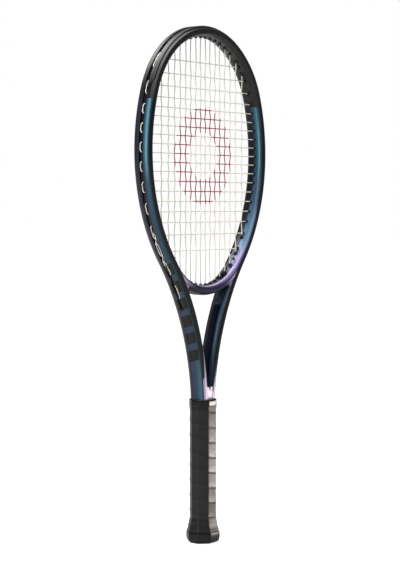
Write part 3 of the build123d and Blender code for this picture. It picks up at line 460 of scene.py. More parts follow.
# %% Set a nose at each hole
def noses(name, holes, profile, around=10):
    """Turned rings, one per hole: profile points (radius, height) spun about the hole's own direction."""
    radius, height = np.array(profile, float).T
    angle = np.linspace(0, 2 * np.pi, around, endpoint=False)
    place, aim = holes[:, :2], holes[:, 2:]
    side = np.stack([-aim[:, 1], aim[:, 0]], -1)
    flat = place[:, None, None] + height[:, None, None] * aim[:, None, None]
    flat = flat + radius[:, None, None] * np.cos(angle)[:, None] * side[:, None, None]
    y = np.broadcast_to(radius[:, None] * np.sin(angle), flat.shape[:3])
    points = np.stack([flat[..., 0], y, flat[..., 1]], -1)
    count, rows, cols = points.shape[:3]
    n, r, c = np.ogrid[:count, :rows, :cols]
    r2, c2 = (r + 1) % rows, (c + 1) % cols
    corners = ((r, c), (r2, c), (r2, c2), (r, c2))
    quads = np.stack([n * rows * cols + a * cols + b for a, b in corners], -1).reshape(-1, 4)
    flat_points = points.reshape(-1, 3)
    a, b, d = (flat_points[quads[:, i]] for i in (0, 1, 3))
    if (np.cross(b - a, d - a) * (a - np.repeat(points.mean((1, 2)), rows * cols, 0))).sum() < 0:
        quads = quads[:, ::-1]
    mesh = bpy.data.meshes.new(name)
    mesh.from_pydata((flat_points / 1000).tolist(), [], quads.tolist())
    mesh.shade_smooth()
    mesh.set_sharp_from_angle(angle=math.radians(50))
    piece = bpy.data.objects.new(name, mesh)
    bpy.context.scene.collection.objects.link(piece)
    print(f"{name}: {len(quads)} faces")
    return piece


nose_profile = [(1.25, -0.4), (3.0, -0.4), (2.9, 0.25), (2.45, 0.8), (2.1, 1.7), (1.95, 2.3), (1.3, 2.35)]
grommet_noses = noses("grommet_noses", holes, nose_profile)

# %% [markdown]
# ## The handle's octagon
#
# A racket handle is an octagon, wider across X than across Y. All eight faces move out together as layers
# are added, so a ring of the handle is eight lines, each moved out by the same thickness, with rounded
# corners.

# %% Draw a ring of the handle
# Half the width across X and across Y, then half the front face's width and half the side face's.
PALLET = (16.0, 14.2, 7.8, 4.9)
print("handle core:", 2 * PALLET[0], "x", 2 * PALLET[1], "mm")


def handle_ring(extra, corner, steps=6):
    """Octagon with every face moved out by extra; its corners, where face lines cross, are rounded."""
    x, y, front_half, side_half = PALLET
    slope = np.array([y - side_half, x - front_half])
    normal = slope / np.linalg.norm(slope)
    reach = normal @ np.array([front_half, y]) + extra
    cut_x = (reach - normal[1] * (y + extra)) / normal[0]
    cut_y = (reach - normal[0] * (x + extra)) / normal[1]
    right, top = x + extra, y + extra
    corners = [(right, -cut_y), (right, cut_y), (cut_x, top), (-cut_x, top)]
    corners += [(-right, cut_y), (-right, -cut_y), (-cut_x, -top), (cut_x, -top)]
    tagged = [(a, b, corner, i / 8) for i, (a, b) in enumerate(corners)]
    return rounded(tagged, steps=steps)


def handle_skin(name, stations):
    """Surface of handle rings, one for each station (z, extra, corner radius)."""
    rings, tags = [], None
    for z, extra, corner in stations:
        outline, tags = handle_ring(extra, corner)
        rings.append(np.column_stack([outline, np.full(len(outline), z)]))
    return skin(name, np.array(rings), tags, sharp=40.0)


# %% [markdown]
# ## The butt cap and its cover
#
# The cap is moulded over the end of the handle. It flares out so that the heel of the hand has a stop,
# and a round cover snaps into its end. It is a stack of handle rings, and the cover is turned like a lid.

# %% Make the butt cap
CAP_WALL, CAP_FLARE, CAP_FLARE_Z, CAP_SLEEVE_TOP_Z, CAP_CORNER_R = 1.1, 4.4, 9.5, 28.0, 3.6
TAPE_SETTLE, GRIP_THICK, GRIP_START_Z = 4.0, 1.8, 14.0
DOOR_R, SEAT_R, SEAT_Z, CAP_FLOOR_Z = 11.6, 10.46, 5.0, 7.95
FOOT_SHARES, FOOT_INSETS = [0, 0.03, 0.1, 0.3, 0.62, 1], [1, 0.78, 0.55, 0.2, 0.05, 0]


def flare(z):
    """How far the cap stands out from the handle at height z.

    A rounded foot up to the widest ring, half a cosine wave down to the sleeve's wall, and a short slope
    to nothing.
    """
    foot = CAP_FLARE * (1 - np.interp(z / CAP_FLARE_Z, FOOT_SHARES, FOOT_INSETS))
    share = np.clip((z - CAP_FLARE_Z) / (CAP_SLEEVE_TOP_Z - CAP_FLARE_Z), 0, 1)
    rise = CAP_WALL + (CAP_FLARE - CAP_WALL) * (1 + np.cos(np.pi * share)) / 2
    settled = CAP_WALL * np.clip((CAP_SLEEVE_TOP_Z + TAPE_SETTLE - z) / TAPE_SETTLE, 0, 1)
    return np.where(z < CAP_FLARE_Z, foot, np.where(z < CAP_SLEEVE_TOP_Z, rise, settled))


rim_z = np.concatenate([[0, 0.15, 0.4, 0.8, 1.4, 2.2, 3.2, 4.4, 6], np.linspace(7.5, GRIP_START_Z, 7)])
sleeve_z = np.linspace(GRIP_START_Z, CAP_SLEEVE_TOP_Z, 12)
cap_stations = [(z, float(flare(z)) + GRIP_THICK, CAP_CORNER_R) for z in rim_z]
cap_stations += [(z + 0.01, float(flare(z)), CAP_CORNER_R) for z in sleeve_z]


def turned(name, profile, segments=128):
    """Surface of revolution about Z.

    Each profile point (radius, z) becomes a ring, and the last meets the first.
    """
    angle = np.linspace(0, 2 * np.pi, segments, endpoint=False)
    profile = np.array(profile, float)
    x = profile[:, :1] * np.cos(angle)
    y = profile[:, :1] * np.sin(angle)
    return skin(name, np.stack([x, y, np.broadcast_to(profile[:, 1:], x.shape)], -1), loop=True, ends=False)


def cap_shell(name):
    """The cap with its round opening.

    Handle rings outside, then rings that turn from octagon to circle inside.
    """
    rings = []
    for z, extra, corner in cap_stations[::-1]:
        shape, tags = handle_ring(extra, corner)
        rings.append(np.column_stack([shape, np.full(len(shape), z)]))
    angle = np.arctan2(shape[:, 1], shape[:, 0])
    circle = np.stack([np.cos(angle), np.sin(angle)], -1)
    opening = [(DOOR_R + 0.6, 0.0), (DOOR_R + 0.16, 0.12), (DOOR_R + 0.06, 0.5), (DOOR_R + 0.06, SEAT_Z)]
    opening += [(SEAT_R, SEAT_Z), (SEAT_R, CAP_FLOOR_Z)]
    for radius, z in opening:
        rings.append(np.column_stack([circle * radius, np.full(len(angle), z)]))
    inside, _ = handle_ring(0.05, 1.0)
    for z in (CAP_FLOOR_Z, CAP_SLEEVE_TOP_Z):
        rings.append(np.column_stack([inside, np.full(len(inside), z)]))
    return skin(name, np.array(rings), tags, loop=True, ends=False)


cap = cap_shell("cap_shell")
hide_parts("butt_cap")

# %% Turn the cover
door_profile = [
    (0.001, 0.9), (3.2, 0.9), (3.6, 1.15), (4.0, 0.9), (8.6, 0.9), (9.0, 0.6), (9.5, 0.6), (11.0, 0.6),
    (11.35, 0.75), (11.45, 1.1), (11.45, 4.6), (11.2, 4.94), (10.2, 4.94), (10.05, 4.7), (10.05, 2.2),
    (0.001, 2.2),
]
door = turned("cover", door_profile)
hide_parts("trap_door")

# %% [markdown]
# ## The wound grip
#
# The grip is one long tape wound round the handle from the butt up, each turn lapping the one below. The
# lap shows as a ridge that climbs round the handle as a helix. The tape's surface is a handle ring at
# each height, moved out by a height that depends on how far above the nearest lap line a point is.

# %% Wind the grip
GRIP_TOP_Z, FINISH_START_Z, TAPE_PITCH = 184.0, 176.5, 20.0
FALL_SHARE, STEP_AT, STEP_SHARE = 0.42, 0.955, 0.04


def lap_height(turns):
    """Height of the tape over a turn, from 0 to 1.

    A quick step up at the lap's edge, then an easy fall.
    """
    phase = turns % 1.0
    fall = np.clip(phase / FALL_SHARE, 0, 1)
    rise = np.clip((phase - STEP_AT) / STEP_SHARE, 0, 1)
    return (1 - fall) ** 1.5 * (phase < FALL_SHARE) + rise * rise * (3 - 2 * rise) * (phase >= STEP_AT)


grip_z = np.arange(GRIP_START_Z, GRIP_TOP_Z, 0.45)
grip_rings = []
for z in grip_z:
    outline, grip_tags = handle_ring(float(flare(z)), 2.0 + 1.6 * float(np.clip((32 - z) / 14, 0, 1)))
    angle = np.arctan2(outline[:, 1], outline[:, 0])
    spoke = outline / np.linalg.norm(outline, axis=1, keepdims=True)
    lap = lap_height((z - 8.0) / TAPE_PITCH + angle / (2 * np.pi))
    start = float(np.clip((z - GRIP_START_Z) / 1.0, 0.05, 1)) ** 0.5
    bound = float(np.clip((z - FINISH_START_Z) / 1.5, 0, 1))
    thickness = (GRIP_THICK - 0.25 + 0.5 * lap) * (1 - bound) * start + (GRIP_THICK - 0.05) * bound
    grip_rings.append(np.column_stack([outline + spoke * thickness[:, None], np.full(len(outline), z)]))
grip = skin("wound_grip", np.array(grip_rings), grip_tags, sharp=50)
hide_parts("grip_tape")

# %% [markdown]
# ## The rubber collar
#
# A short rubber sleeve hides the tape's end. It is stretched on, so its edges roll in a little.

# %% Stretch on the collar
collar_profile = [
    (181.5, 1.9), (181.4, 2.2), (181.6, 2.45), (182.1, 2.55), (183.0, 2.5), (186.0, 2.35), (188.6, 2.3),
    (189.8, 2.15), (190.35, 1.7), (190.4, 1.0), (190.3, 0.3), (189.8, 0.1),
]
collar = handle_skin("collar", [(z, extra, 2.6) for z, extra in collar_profile])
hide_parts("grip_collar")

# %% [markdown]
# ## Colour and a small tool for nodes
#
# Colours are written as the hex values a paint chart gives, and one function turns them to the linear
# values that light works in. One more function adds a shader node with its settings and links.


# %% Colour and nodes
def linear(hex_colour):
    """The paint chart's sRGB hex to linear RGBA: ((c + 0.055) / 1.055) ^ 2.4, or c / 12.92 when dark."""
    c = [int(hex_colour[i : i + 2], 16) / 255 for i in (1, 3, 5)]
    return tuple(v / 12.92 if v <= 0.04045 else ((v + 0.055) / 1.055) ** 2.4 for v in c) + (1.0,)


def add(tree, kind, links=None, **settings):
    """One shader node: settings by name, and for each input a value or the output that feeds it."""
    node = tree.nodes.new(kind)
    for key, value in settings.items():
        setattr(node, key, value)
    for socket, value in (links or {}).items():
        if isinstance(value, bpy.types.NodeSocket):
            tree.links.new(value, node.inputs[socket])
        else:
            node.inputs[socket].default_value = value
    return node


def stops(ramp, colours):
    """Fills a colour ramp with (place, colour) pairs and returns its output."""
    elements = ramp.color_ramp.elements
    while len(elements) < len(colours):
        elements.new(0.5)
    for element, (place, colour) in zip(elements, colours):
        element.position = place
        element.color = linear(colour) if isinstance(colour, str) else (colour, colour, colour, 1)
    return ramp.outputs["Color"]


def new_finish(name):
    """An empty material with a Principled shader: (material, its node tree, the shader)."""
    material = bpy.data.materials.new(name)
    material.use_nodes = True
    tree = material.node_tree
    return material, tree, tree.nodes["Principled BSDF"]


def cover(material, *pieces):
    """Gives pieces that one material."""
    for piece in pieces:
        piece.data.materials.clear()
        piece.data.materials.append(material)
    print(f"{material.name}: {len(pieces)} pieces")


# %% [markdown]
# ## The frame's lacquer
#
# The frame is carbon under a pearl lacquer that drifts from teal through indigo to lilac, because the
# mica in it bends light differently at each slant. That drift belongs to the angle, but a plain shader
# can't turn its hue by angle and stay exportable. So the drift is painted where it falls on the real one:
# round the section, from the UV map's U, and down the frame, from the height. The ramps hold painted light
# too: thin painted highlights on the shoulders and along the inner front edge, and an inner side painted
# lighter low in the head, where it faces up, as if lit from above. Each paint below is one ramp round the
# section. Its places are 0 at the string channel, a quarter at the front face, a half inside the head, and
# three quarters at the back.
#
# The crown is plain satin black, masked off with a sharp edge, the legs' fronts are lilac, and a row of
# plain black bars runs down each arm. Sprayed and polished, it has a thin clear coat that sharpens its
# highlights, and mica that gives a slightly metallic sheen.


# %% Name the paints
CHANNEL_BLACK = [(0.0, "#060607"), (0.055, "#060607")]

# Teal over the widest part of the head, with a painted highlight on each shoulder, brightened further by
# the strip light at the left.
HOOP = CHANNEL_BLACK + [
    (0.063, "#22404f"), (0.10, "#2f5a70"), (0.135, "#4a8798"), (0.155, "#356a7b"), (0.175, "#25495a"),
    (0.2, "#162833"), (0.213, "#0a1016"), (0.287, "#080c12"), (0.3, "#1c2c3a"), (0.345, "#28505f"),
    (0.37, "#447f92"), (0.40, "#2b5b6f"), (0.495, "#1d4256"), (0.51, "#0e202c"), (0.57, "#131c29"),
    (0.63, "#151824"), (0.71, "#0b0b11"), (0.79, "#0a0a10"), (0.82, "#191a28"), (0.87, "#262b3d"),
    (0.92, "#323c52"), (0.937, "#1f2333"), (0.945, "#060607"),
]
# Slate blue below it, with its inner side painted lighter: painted light from above, where that side starts
# to face up.
LOW_HOOP = CHANNEL_BLACK + [
    (0.063, "#222d3c"), (0.10, "#2d435f"), (0.14, "#35526a"), (0.17, "#29495c"), (0.2, "#1f3442"),
    (0.213, "#0b1118"), (0.287, "#0b1018"), (0.3, "#34475b"), (0.36, "#3d5a70"), (0.43, "#42657f"),
    (0.495, "#38566c"), (0.51, "#101d2a"), (0.57, "#1d1f2b"), (0.63, "#151620"), (0.71, "#0b0b11"),
    (0.79, "#0a0a10"), (0.82, "#1d1d29"), (0.87, "#292b3d"), (0.92, "#323245"), (0.937, "#1c1c29"),
    (0.945, "#060607"),
]
# Inside the bottom corners of the head the inner side, which faces up there, is painted a lighter sky blue:
# painted light from above, which the high panels add to.
YOKE = CHANNEL_BLACK + [
    (0.063, "#222d3c"), (0.10, "#2a405a"), (0.14, "#2b4a5d"), (0.17, "#244656"), (0.2, "#1b2f3c"),
    (0.213, "#0b1118"), (0.287, "#0c0f1a"), (0.298, "#4c6580"), (0.36, "#557691"), (0.43, "#577d9b"),
    (0.495, "#4f7492"), (0.51, "#1c2939"), (0.57, "#2b2c36"), (0.63, "#15151c"), (0.71, "#0b0b11"),
    (0.79, "#0a0a10"), (0.82, "#20202d"), (0.87, "#2a2c3f"), (0.92, "#2f2d44"), (0.937, "#1c1c29"),
    (0.945, "#060607"),
]
# Violet where the blue turns into the bridge, with a thin painted highlight along the inner front edge.
LILAC_TURN = CHANNEL_BLACK + [
    (0.063, "#222d3c"), (0.10, "#2a405a"), (0.14, "#2b4a5d"), (0.17, "#244656"), (0.2, "#1b2f3c"),
    (0.213, "#0b1118"), (0.27, "#0c0f1a"), (0.30, "#3a2f5a"), (0.335, "#54467c"), (0.352, "#9d92b6"),
    (0.368, "#978cae"), (0.38, "#5a5f80"), (0.44, "#656c90"), (0.495, "#5f6386"), (0.51, "#35384a"),
    (0.63, "#23222e"), (0.71, "#15131d"), (0.79, "#131119"), (0.87, "#262838"), (0.92, "#2f2d44"),
    (0.937, "#1c1c29"), (0.945, "#060607"),
]
# Pale lilac shoulders at the bridge's two ends, with the same thin painted highlight along the inner front
# edge.
BRIDGE_END = CHANNEL_BLACK + [
    (0.063, "#1c1a2a"), (0.14, "#8f7fa8"), (0.17, "#cdbbe0"), (0.24, "#dccdec"), (0.262, "#b5a3cf"),
    (0.28, "#4a3d70"), (0.335, "#3f3268"), (0.352, "#9d92b6"), (0.368, "#978cae"), (0.38, "#5a5f80"),
    (0.44, "#62688a"), (0.495, "#595c7c"), (0.51, "#35384a"), (0.63, "#23222e"), (0.71, "#15131d"),
    (0.79, "#8f7fa8"), (0.87, "#4b4062"), (0.945, "#060607"),
]
# Deep violet over the middle of the bridge, with a thin painted highlight along its inner front edge.
BRIDGE = CHANNEL_BLACK + [
    (0.063, "#0a090e"), (0.14, "#0f0d18"), (0.19, "#17132a"), (0.215, "#2a2142"), (0.285, "#30264f"),
    (0.3, "#33285a"), (0.342, "#372b5e"), (0.352, "#cdc1dc"), (0.376, "#c4b8d4"), (0.39, "#474256"),
    (0.44, "#403c4b"), (0.495, "#393540"), (0.51, "#2c2a34"), (0.63, "#1c1b22"), (0.71, "#131119"),
    (0.79, "#121018"), (0.87, "#0e0d13"), (0.945, "#060607"),
]
# Indigo and petrol on the arms.
ARM = [
    (0.0, "#333e57"), (0.05, "#2f4258"), (0.10, "#284356"), (0.14, "#284858"), (0.17, "#203944"),
    (0.195, "#111c26"), (0.212, "#06080c"), (0.288, "#06080c"), (0.3, "#1c2b39"), (0.36, "#2b4154"),
    (0.43, "#2b4357"), (0.475, "#273d50"), (0.50, "#293b50"), (0.54, "#313a52"), (0.60, "#39384b"),
    (0.64, "#35313c"), (0.71, "#0a090e"), (0.79, "#0a090e"), (0.83, "#0d0f17"), (0.87, "#1f2432"),
    (0.92, "#353c54"), (1.0, "#333e57"),
]
# The same, a little brighter, above the handle.
SHAFT = [
    (0.0, "#2f3f5b"), (0.05, "#2f4a63"), (0.10, "#355666"), (0.14, "#3c6473"), (0.165, "#36525f"),
    (0.19, "#172029"), (0.205, "#0b0d16"), (0.295, "#0b0d16"), (0.3, "#1c2b39"), (0.36, "#22344a"),
    (0.43, "#22344a"), (0.475, "#1f2f42"), (0.50, "#1f2b3c"), (0.54, "#262b40"), (0.60, "#2d2b3a"),
    (0.64, "#221f2a"), (0.71, "#0a090e"), (0.79, "#0a090e"), (0.83, "#15151f"), (0.87, "#222538"),
    (0.92, "#313754"), (1.0, "#2f3f5b"),
]
SHAFT_LILAC = "#b4a9c4"
GUSSET_LILAC = [(0.0, "#b3a0c8"), (1.0, "#b3a0c8")]
paint_ramps = (HOOP, LOW_HOOP, YOKE, LILAC_TURN, BRIDGE_END, BRIDGE, ARM, SHAFT)
print("stops in each paint:", [len(ramp) for ramp in paint_ramps])


# %% Let one paint take over from the next
def painted(tree, around, z, paints):
    """Colour from paints [(ramp, low mm, high mm)].

    Each replaces the one before in a straight line between heights.
    """
    colour = stops(add(tree, "ShaderNodeValToRGB", {0: around}), paints[0][0])
    for ramp, low, high in paints[1:]:
        links = {"Value": z, "From Min": low / 1000, "From Max": high / 1000}
        taken = add(tree, "ShaderNodeMapRange", links).outputs[0]
        paint = stops(add(tree, "ShaderNodeValToRGB", {0: around}), ramp)
        colour = add(tree, "ShaderNodeMix", {0: taken, 6: colour, 7: paint}, data_type="RGBA").outputs[2]
    return colour


# %% Draw the row of bars
BAR_TOP_Z, BAR_END_Z, BARS, BAR_TILT = 376.0, 238.0, 6, 12.0
BAR_BEAT = [(0.0, 0.0), (0.16, 0.0), (0.18, 1.0), (0.80, 1.0), (0.82, 0.0)]
OUTER_SIDE = [(0.0, 1.0), (0.16, 1.0), (0.165, 0.0), (0.815, 0.0), (0.82, 1.0)]


def bar_share(tree, around, axes):
    """1 on a bar and 0 off it.

    A bar's place in its beat is the fraction of (bars times height share, plus tilt times Y), and it is
    kept to the outer side.
    """
    links = {"Value": axes["Z"], "From Min": BAR_END_Z / 1000, "From Max": BAR_TOP_Z / 1000}
    along = add(tree, "ShaderNodeMapRange", links).outputs[0]
    tilt = add(tree, "ShaderNodeMath", {0: axes["Y"], 1: BAR_TILT}, operation="MULTIPLY").outputs[0]
    links = {0: along, 1: float(BARS), 2: tilt}
    slant = add(tree, "ShaderNodeMath", links, operation="MULTIPLY_ADD").outputs[0]
    phase = add(tree, "ShaderNodeMath", {0: slant}, operation="FRACT").outputs[0]
    beat = stops(add(tree, "ShaderNodeValToRGB", {0: phase}), BAR_BEAT)
    outer = stops(add(tree, "ShaderNodeValToRGB", {0: around}), OUTER_SIDE)
    within = add(tree, "ShaderNodeMath", {0: along, 1: 0.5, 2: 0.49999}, operation="COMPARE").outputs[0]
    bars = add(tree, "ShaderNodeMath", {0: beat, 1: outer}, operation="MULTIPLY").outputs[0]
    return add(tree, "ShaderNodeMath", {0: bars, 1: within}, operation="MULTIPLY").outputs[0]


print(f"{BARS} bars, one every {(BAR_TOP_Z - BAR_END_Z) / BARS:.1f} mm")

# %% Find the lilac fronts of the legs
LILAC_TOP_Z, LILAC_LEAN, LILAC_SIDE_DROP, LILAC_FADE = 228.5, 450.0, 9.5, 3.0
FACE_DEPTH = LEG_DEPTH / 2 - 1.2
FACES = [
    (0.0, 0.0), (0.199, 0.0), (0.203, 1.0), (0.295, 1.0), (0.3, 0.0), (0.7, 0.0), (0.705, 1.0),
    (0.795, 1.0), (0.8, 0.0),
]


def lilac_share(tree, around, axes):
    """1 on the front and back faces below a slanted edge, fading over a few millimetres.

    The edge's height is a constant, less a slope times how far round the face a point is, so that the two
    edges make a V with the gap between the legs, less a drop on the right-hand leg.
    """
    side = add(tree, "ShaderNodeMath", {0: axes["X"]}, operation="SIGN").outputs[0]
    turn = add(tree, "ShaderNodeMath", {0: around, 1: 0.5}, operation="SUBTRACT").outputs[0]
    from_inside = add(tree, "ShaderNodeMath", {0: turn}, operation="ABSOLUTE").outputs[0]
    links = {0: FRONT_TAG, 1: from_inside}
    round_face = add(tree, "ShaderNodeMath", links, operation="SUBTRACT").outputs[0]
    lean = add(tree, "ShaderNodeMath", {0: round_face, 1: side}, operation="MULTIPLY").outputs[0]
    links = {0: lean, 1: -LILAC_LEAN / 1000, 2: LILAC_TOP_Z / 1000}
    edge = add(tree, "ShaderNodeMath", links, operation="MULTIPLY_ADD").outputs[0]
    links = {0: side, 1: -LILAC_SIDE_DROP / 1000, 2: edge}
    edge = add(tree, "ShaderNodeMath", links, operation="MULTIPLY_ADD").outputs[0]
    gap = add(tree, "ShaderNodeMath", {0: edge, 1: axes["Z"]}, operation="SUBTRACT").outputs[0]
    under = add(tree, "ShaderNodeMapRange", {"Value": gap, "From Max": LILAC_FADE / 1000}).outputs[0]
    face = stops(add(tree, "ShaderNodeValToRGB", {0: around}), FACES)
    depth = add(tree, "ShaderNodeMath", {0: axes["Y"]}, operation="ABSOLUTE").outputs[0]
    links = {0: depth, 1: FACE_DEPTH / 1000}
    outermost = add(tree, "ShaderNodeMath", links, operation="GREATER_THAN").outputs[0]
    share = add(tree, "ShaderNodeMath", {0: under, 1: face}, operation="MULTIPLY").outputs[0]
    return add(tree, "ShaderNodeMath", {0: share, 1: outermost}, operation="MULTIPLY").outputs[0]


print(f"lilac below {LILAC_TOP_Z} mm, on faces more than {FACE_DEPTH} mm from the middle")

# %% Mix the lacquer
CROWN_PAINT_Z, MASK_WIDTH = 583.5, 0.6
BAR_BLACK, CROWN_BLACK = "#0e0e0d", "#0d0d0e"
# Mica flakes are far finer than this, but a grain of 0.4 mm is the finest that shows.
MICA_MM = 0.4


def frame_lacquer(name, paints, marked):
    """Pearl lacquer: paints, bars and lilac fronts if marked, the crown's black, and a shimmer of mica."""
    material, tree, shader = new_finish(name)
    place = add(tree, "ShaderNodeTexCoord").outputs
    axes = add(tree, "ShaderNodeSeparateXYZ", {0: place["Object"]}).outputs
    around = add(tree, "ShaderNodeSeparateXYZ", {0: place["UV"]}).outputs["X"]
    # The paints hold painted highlights along the edges and painted light from above on inner sides that
    # face up.
    colour = painted(tree, around, axes["Z"], paints)
    layers = []
    if marked:
        layers.append((bar_share(tree, around, axes), BAR_BLACK))
        layers.append((lilac_share(tree, around, axes), SHAFT_LILAC))
    mask_low, mask_high = (CROWN_PAINT_Z - MASK_WIDTH / 2) / 1000, (CROWN_PAINT_Z + MASK_WIDTH / 2) / 1000
    links = {"Value": axes["Z"], "From Min": mask_low, "From Max": mask_high}
    on_crown = add(tree, "ShaderNodeMapRange", links).outputs[0]
    layers.append((on_crown, CROWN_BLACK))
    for share, paint in layers:
        links = {0: share, 6: colour, 7: linear(paint)}
        colour = add(tree, "ShaderNodeMix", links, data_type="RGBA").outputs[2]
    links = {"Vector": place["Object"], "Scale": 1000 / MICA_MM, "Detail": 2.0}
    mica = add(tree, "ShaderNodeTexNoise", links).outputs["Fac"]
    links = {"Value": mica, "To Min": 0.85, "To Max": 1.15}
    shimmer = add(tree, "ShaderNodeMapRange", links).outputs[0]
    links = {0: 1.0, 6: colour, 7: shimmer}
    colour = add(tree, "ShaderNodeMix", links, data_type="RGBA", blend_type="MULTIPLY").outputs[2]
    tree.links.new(colour, shader.inputs["Base Color"])
    rough = add(tree, "ShaderNodeMapRange", {"Value": on_crown, "To Min": 0.32, "To Max": 0.36}).outputs[0]
    tree.links.new(rough, shader.inputs["Roughness"])
    metal = add(tree, "ShaderNodeMapRange", {"Value": on_crown, "To Min": 0.35, "To Max": 0.0}).outputs[0]
    tree.links.new(metal, shader.inputs["Metallic"])
    shader.inputs["Specular IOR Level"].default_value = 0.35
    shader.inputs["Coat Weight"].default_value = 0.2
    shader.inputs["Coat Roughness"].default_value = 0.16
    return material


arm_paints = [(SHAFT, 0, 0), (ARM, 222, 262), (LILAC_TURN, 352, 370), (YOKE, 376, 402)]
arm_paints += [(LOW_HOOP, 425, 452), (HOOP, 478, 512)]
bridge_paints = [(BRIDGE, 0, 0), (BRIDGE_END, 341, 352), (LILAC_TURN, 372, 386), (YOKE, 390, 402)]
arm_lacquer = frame_lacquer("pearl_lacquer_over_carbon", arm_paints, marked=True)
bridge_lacquer = frame_lacquer("pearl_lacquer_on_the_bridge", bridge_paints, marked=False)
gusset_lacquer = frame_lacquer("pearl_lacquer_on_the_gussets", [(GUSSET_LILAC, 0, 0)], marked=False)
cover(arm_lacquer, hairpin, web)
cover(bridge_lacquer, bridge)
cover(gusset_lacquer, *gussets)

# %% [markdown]
# ## Nylon, grip and fittings
#
# The other finishes are one colour each. What tells them apart is their grain and their gloss: how large
# the grain is, how deep, and how tight a highlight it leaves. So one function makes them all from those
# numbers.


# %% Mix the plain finishes
DRIFT_MM = 1000 / 60


def plain_finish(name, colour, roughness, grain_mm, bump_mm, **sockets):
    """A moulded, embossed or drawn finish: one colour with a faint drift, and a raised grain."""
    material, tree, shader = new_finish(name)
    place = add(tree, "ShaderNodeTexCoord").outputs["Object"]
    links = {"Vector": place, "Scale": 1000 / grain_mm, "Detail": 3.0}
    grain = add(tree, "ShaderNodeTexNoise", links).outputs["Fac"]
    links = {"Vector": place, "Scale": 1000 / DRIFT_MM, "Detail": 2.0}
    drift = add(tree, "ShaderNodeTexNoise", links).outputs["Fac"]
    shade = add(tree, "ShaderNodeMapRange", {"Value": drift, "To Min": 0.85, "To Max": 1.15}).outputs[0]
    links = {0: 1.0, 6: linear(colour), 7: shade}
    base = add(tree, "ShaderNodeMix", links, data_type="RGBA", blend_type="MULTIPLY")
    tree.links.new(base.outputs[2], shader.inputs["Base Color"])
    links = {"Value": grain, "To Min": roughness - 0.06, "To Max": roughness + 0.06}
    tree.links.new(add(tree, "ShaderNodeMapRange", links).outputs[0], shader.inputs["Roughness"])
    relief = add(tree, "ShaderNodeBump", {"Height": grain, "Distance": bump_mm / 1000, "Strength": 1.0})
    tree.links.new(relief.outputs[0], shader.inputs["Normal"])
    for socket, value in sockets.items():
        shader.inputs[socket.replace("_", " ")].default_value = value
    return material


# Nylon 6, injection moulded from a fine-sparked mould: black with a soft, even sheen.
nylon = plain_finish("moulded_nylon", "#0e0d0e", 0.36, 0.5, 0.015, Specular_IOR_Level=0.45)
# Polyurethane on a fleece, rolled with a leather grain: charcoal, and its grain breaks the light into a
# dull glow.
grip_leather = plain_finish("embossed_polyurethane", "#151515", 0.40, 0.9, 0.05, Specular_IOR_Level=0.45)
# Moulded rubber, stretched smooth: the deepest black here, and glossier than the tape below it.
rubber = plain_finish("moulded_rubber", "#080809", 0.24, 0.6, 0.01)
# Moulded plastic from a spark-eroded mould: a fine, even texture with a satin sheen.
cap_plastic = plain_finish("spark_textured_plastic", "#0c0c0d", 0.36, 0.4, 0.02, Specular_IOR_Level=0.4)
# Rigid polyurethane foam, cast: fawn, with open cells and no shine. It shows only when the handle is
# taken apart.
foam = plain_finish("rigid_foam", "#8a816d", 0.8, 0.8, 0.1)
# Bright steel wire, drawn through a die: fine scratches and a metal's sharp light.
wire = plain_finish("drawn_steel_wire", "#a8a9ab", 0.28, 0.3, 0.01, Metallic=1.0)

strips = [nodes[name] for name in ("side_grommets_left", "side_grommets_right", "bridge_grommets")]
cover(nylon, bumper, grommet_noses, *strips)
cover(grip_leather, grip)
cover(rubber, collar)
cover(cap_plastic, cap, door, nodes["finishing_tape"])
cover(foam, nodes["handle_pallet"], nodes["leg_plug_left"], nodes["leg_plug_right"])
cover(wire, nodes["butt_cap_staples"], nodes["grip_tack"])

# %% [markdown]
# ## The strings
#
# The strings are nylon multifilament: hundreds of fine threads twisted and coated, so they are a milky
# cream with a soft shine and a faint twist. A mark is inked on them with a stencil. Ours is a plain ring,
# so its ink is wherever the distance from the ring's centre lies between two radii.

# %% Mix the string
RING_CENTRE_Z, RING_R = 513.5, 65.0
RING = [(0.0, 0.0), (0.48, 0.0), (0.49, 1.0), (0.98, 1.0), (0.99, 0.0)]
STRING_CREAM, RING_CRIMSON = "#f7f2e4", "#a80329"
FIBRE_MM, FIBRE_RELIEF_MM = 0.45, 0.03


def string_finish():
    """Coated string: cream, or ink where the distance from the centre, over the radius, is in RING."""
    material, tree, shader = new_finish("coated_multifilament_string")
    place = add(tree, "ShaderNodeTexCoord").outputs["Object"]
    links = {"Vector": place, "Scale": 1000 / FIBRE_MM, "Detail": 3.0}
    fibre = add(tree, "ShaderNodeTexNoise", links).outputs["Fac"]
    axes = add(tree, "ShaderNodeSeparateXYZ", {0: place}).outputs
    flat = add(tree, "ShaderNodeCombineXYZ", {0: axes["X"], 1: axes["Z"], 2: 0.0}).outputs[0]
    scale = 1000 / RING_R
    links = {"Vector": flat, "Location": (0.0, -RING_CENTRE_Z / RING_R, 0.0), "Scale": (scale, scale, 1.0)}
    centred = add(tree, "ShaderNodeMapping", links).outputs[0]
    radius = add(tree, "ShaderNodeVectorMath", {0: centred}, operation="LENGTH").outputs["Value"]
    inked = stops(add(tree, "ShaderNodeValToRGB", {0: radius}), RING)
    links = {0: inked, 6: linear(STRING_CREAM), 7: linear(RING_CRIMSON)}
    base = add(tree, "ShaderNodeMix", links, data_type="RGBA").outputs[2]
    tree.links.new(base, shader.inputs["Base Color"])
    links = {"Height": fibre, "Distance": FIBRE_RELIEF_MM / 1000, "Strength": 1.0}
    tree.links.new(add(tree, "ShaderNodeBump", links).outputs[0], shader.inputs["Normal"])
    shader.inputs["Roughness"].default_value = 0.38
    return material


string = string_finish()
cover(string, *[nodes[name] for name in nodes if name.startswith(("main_string", "cross_string"))])

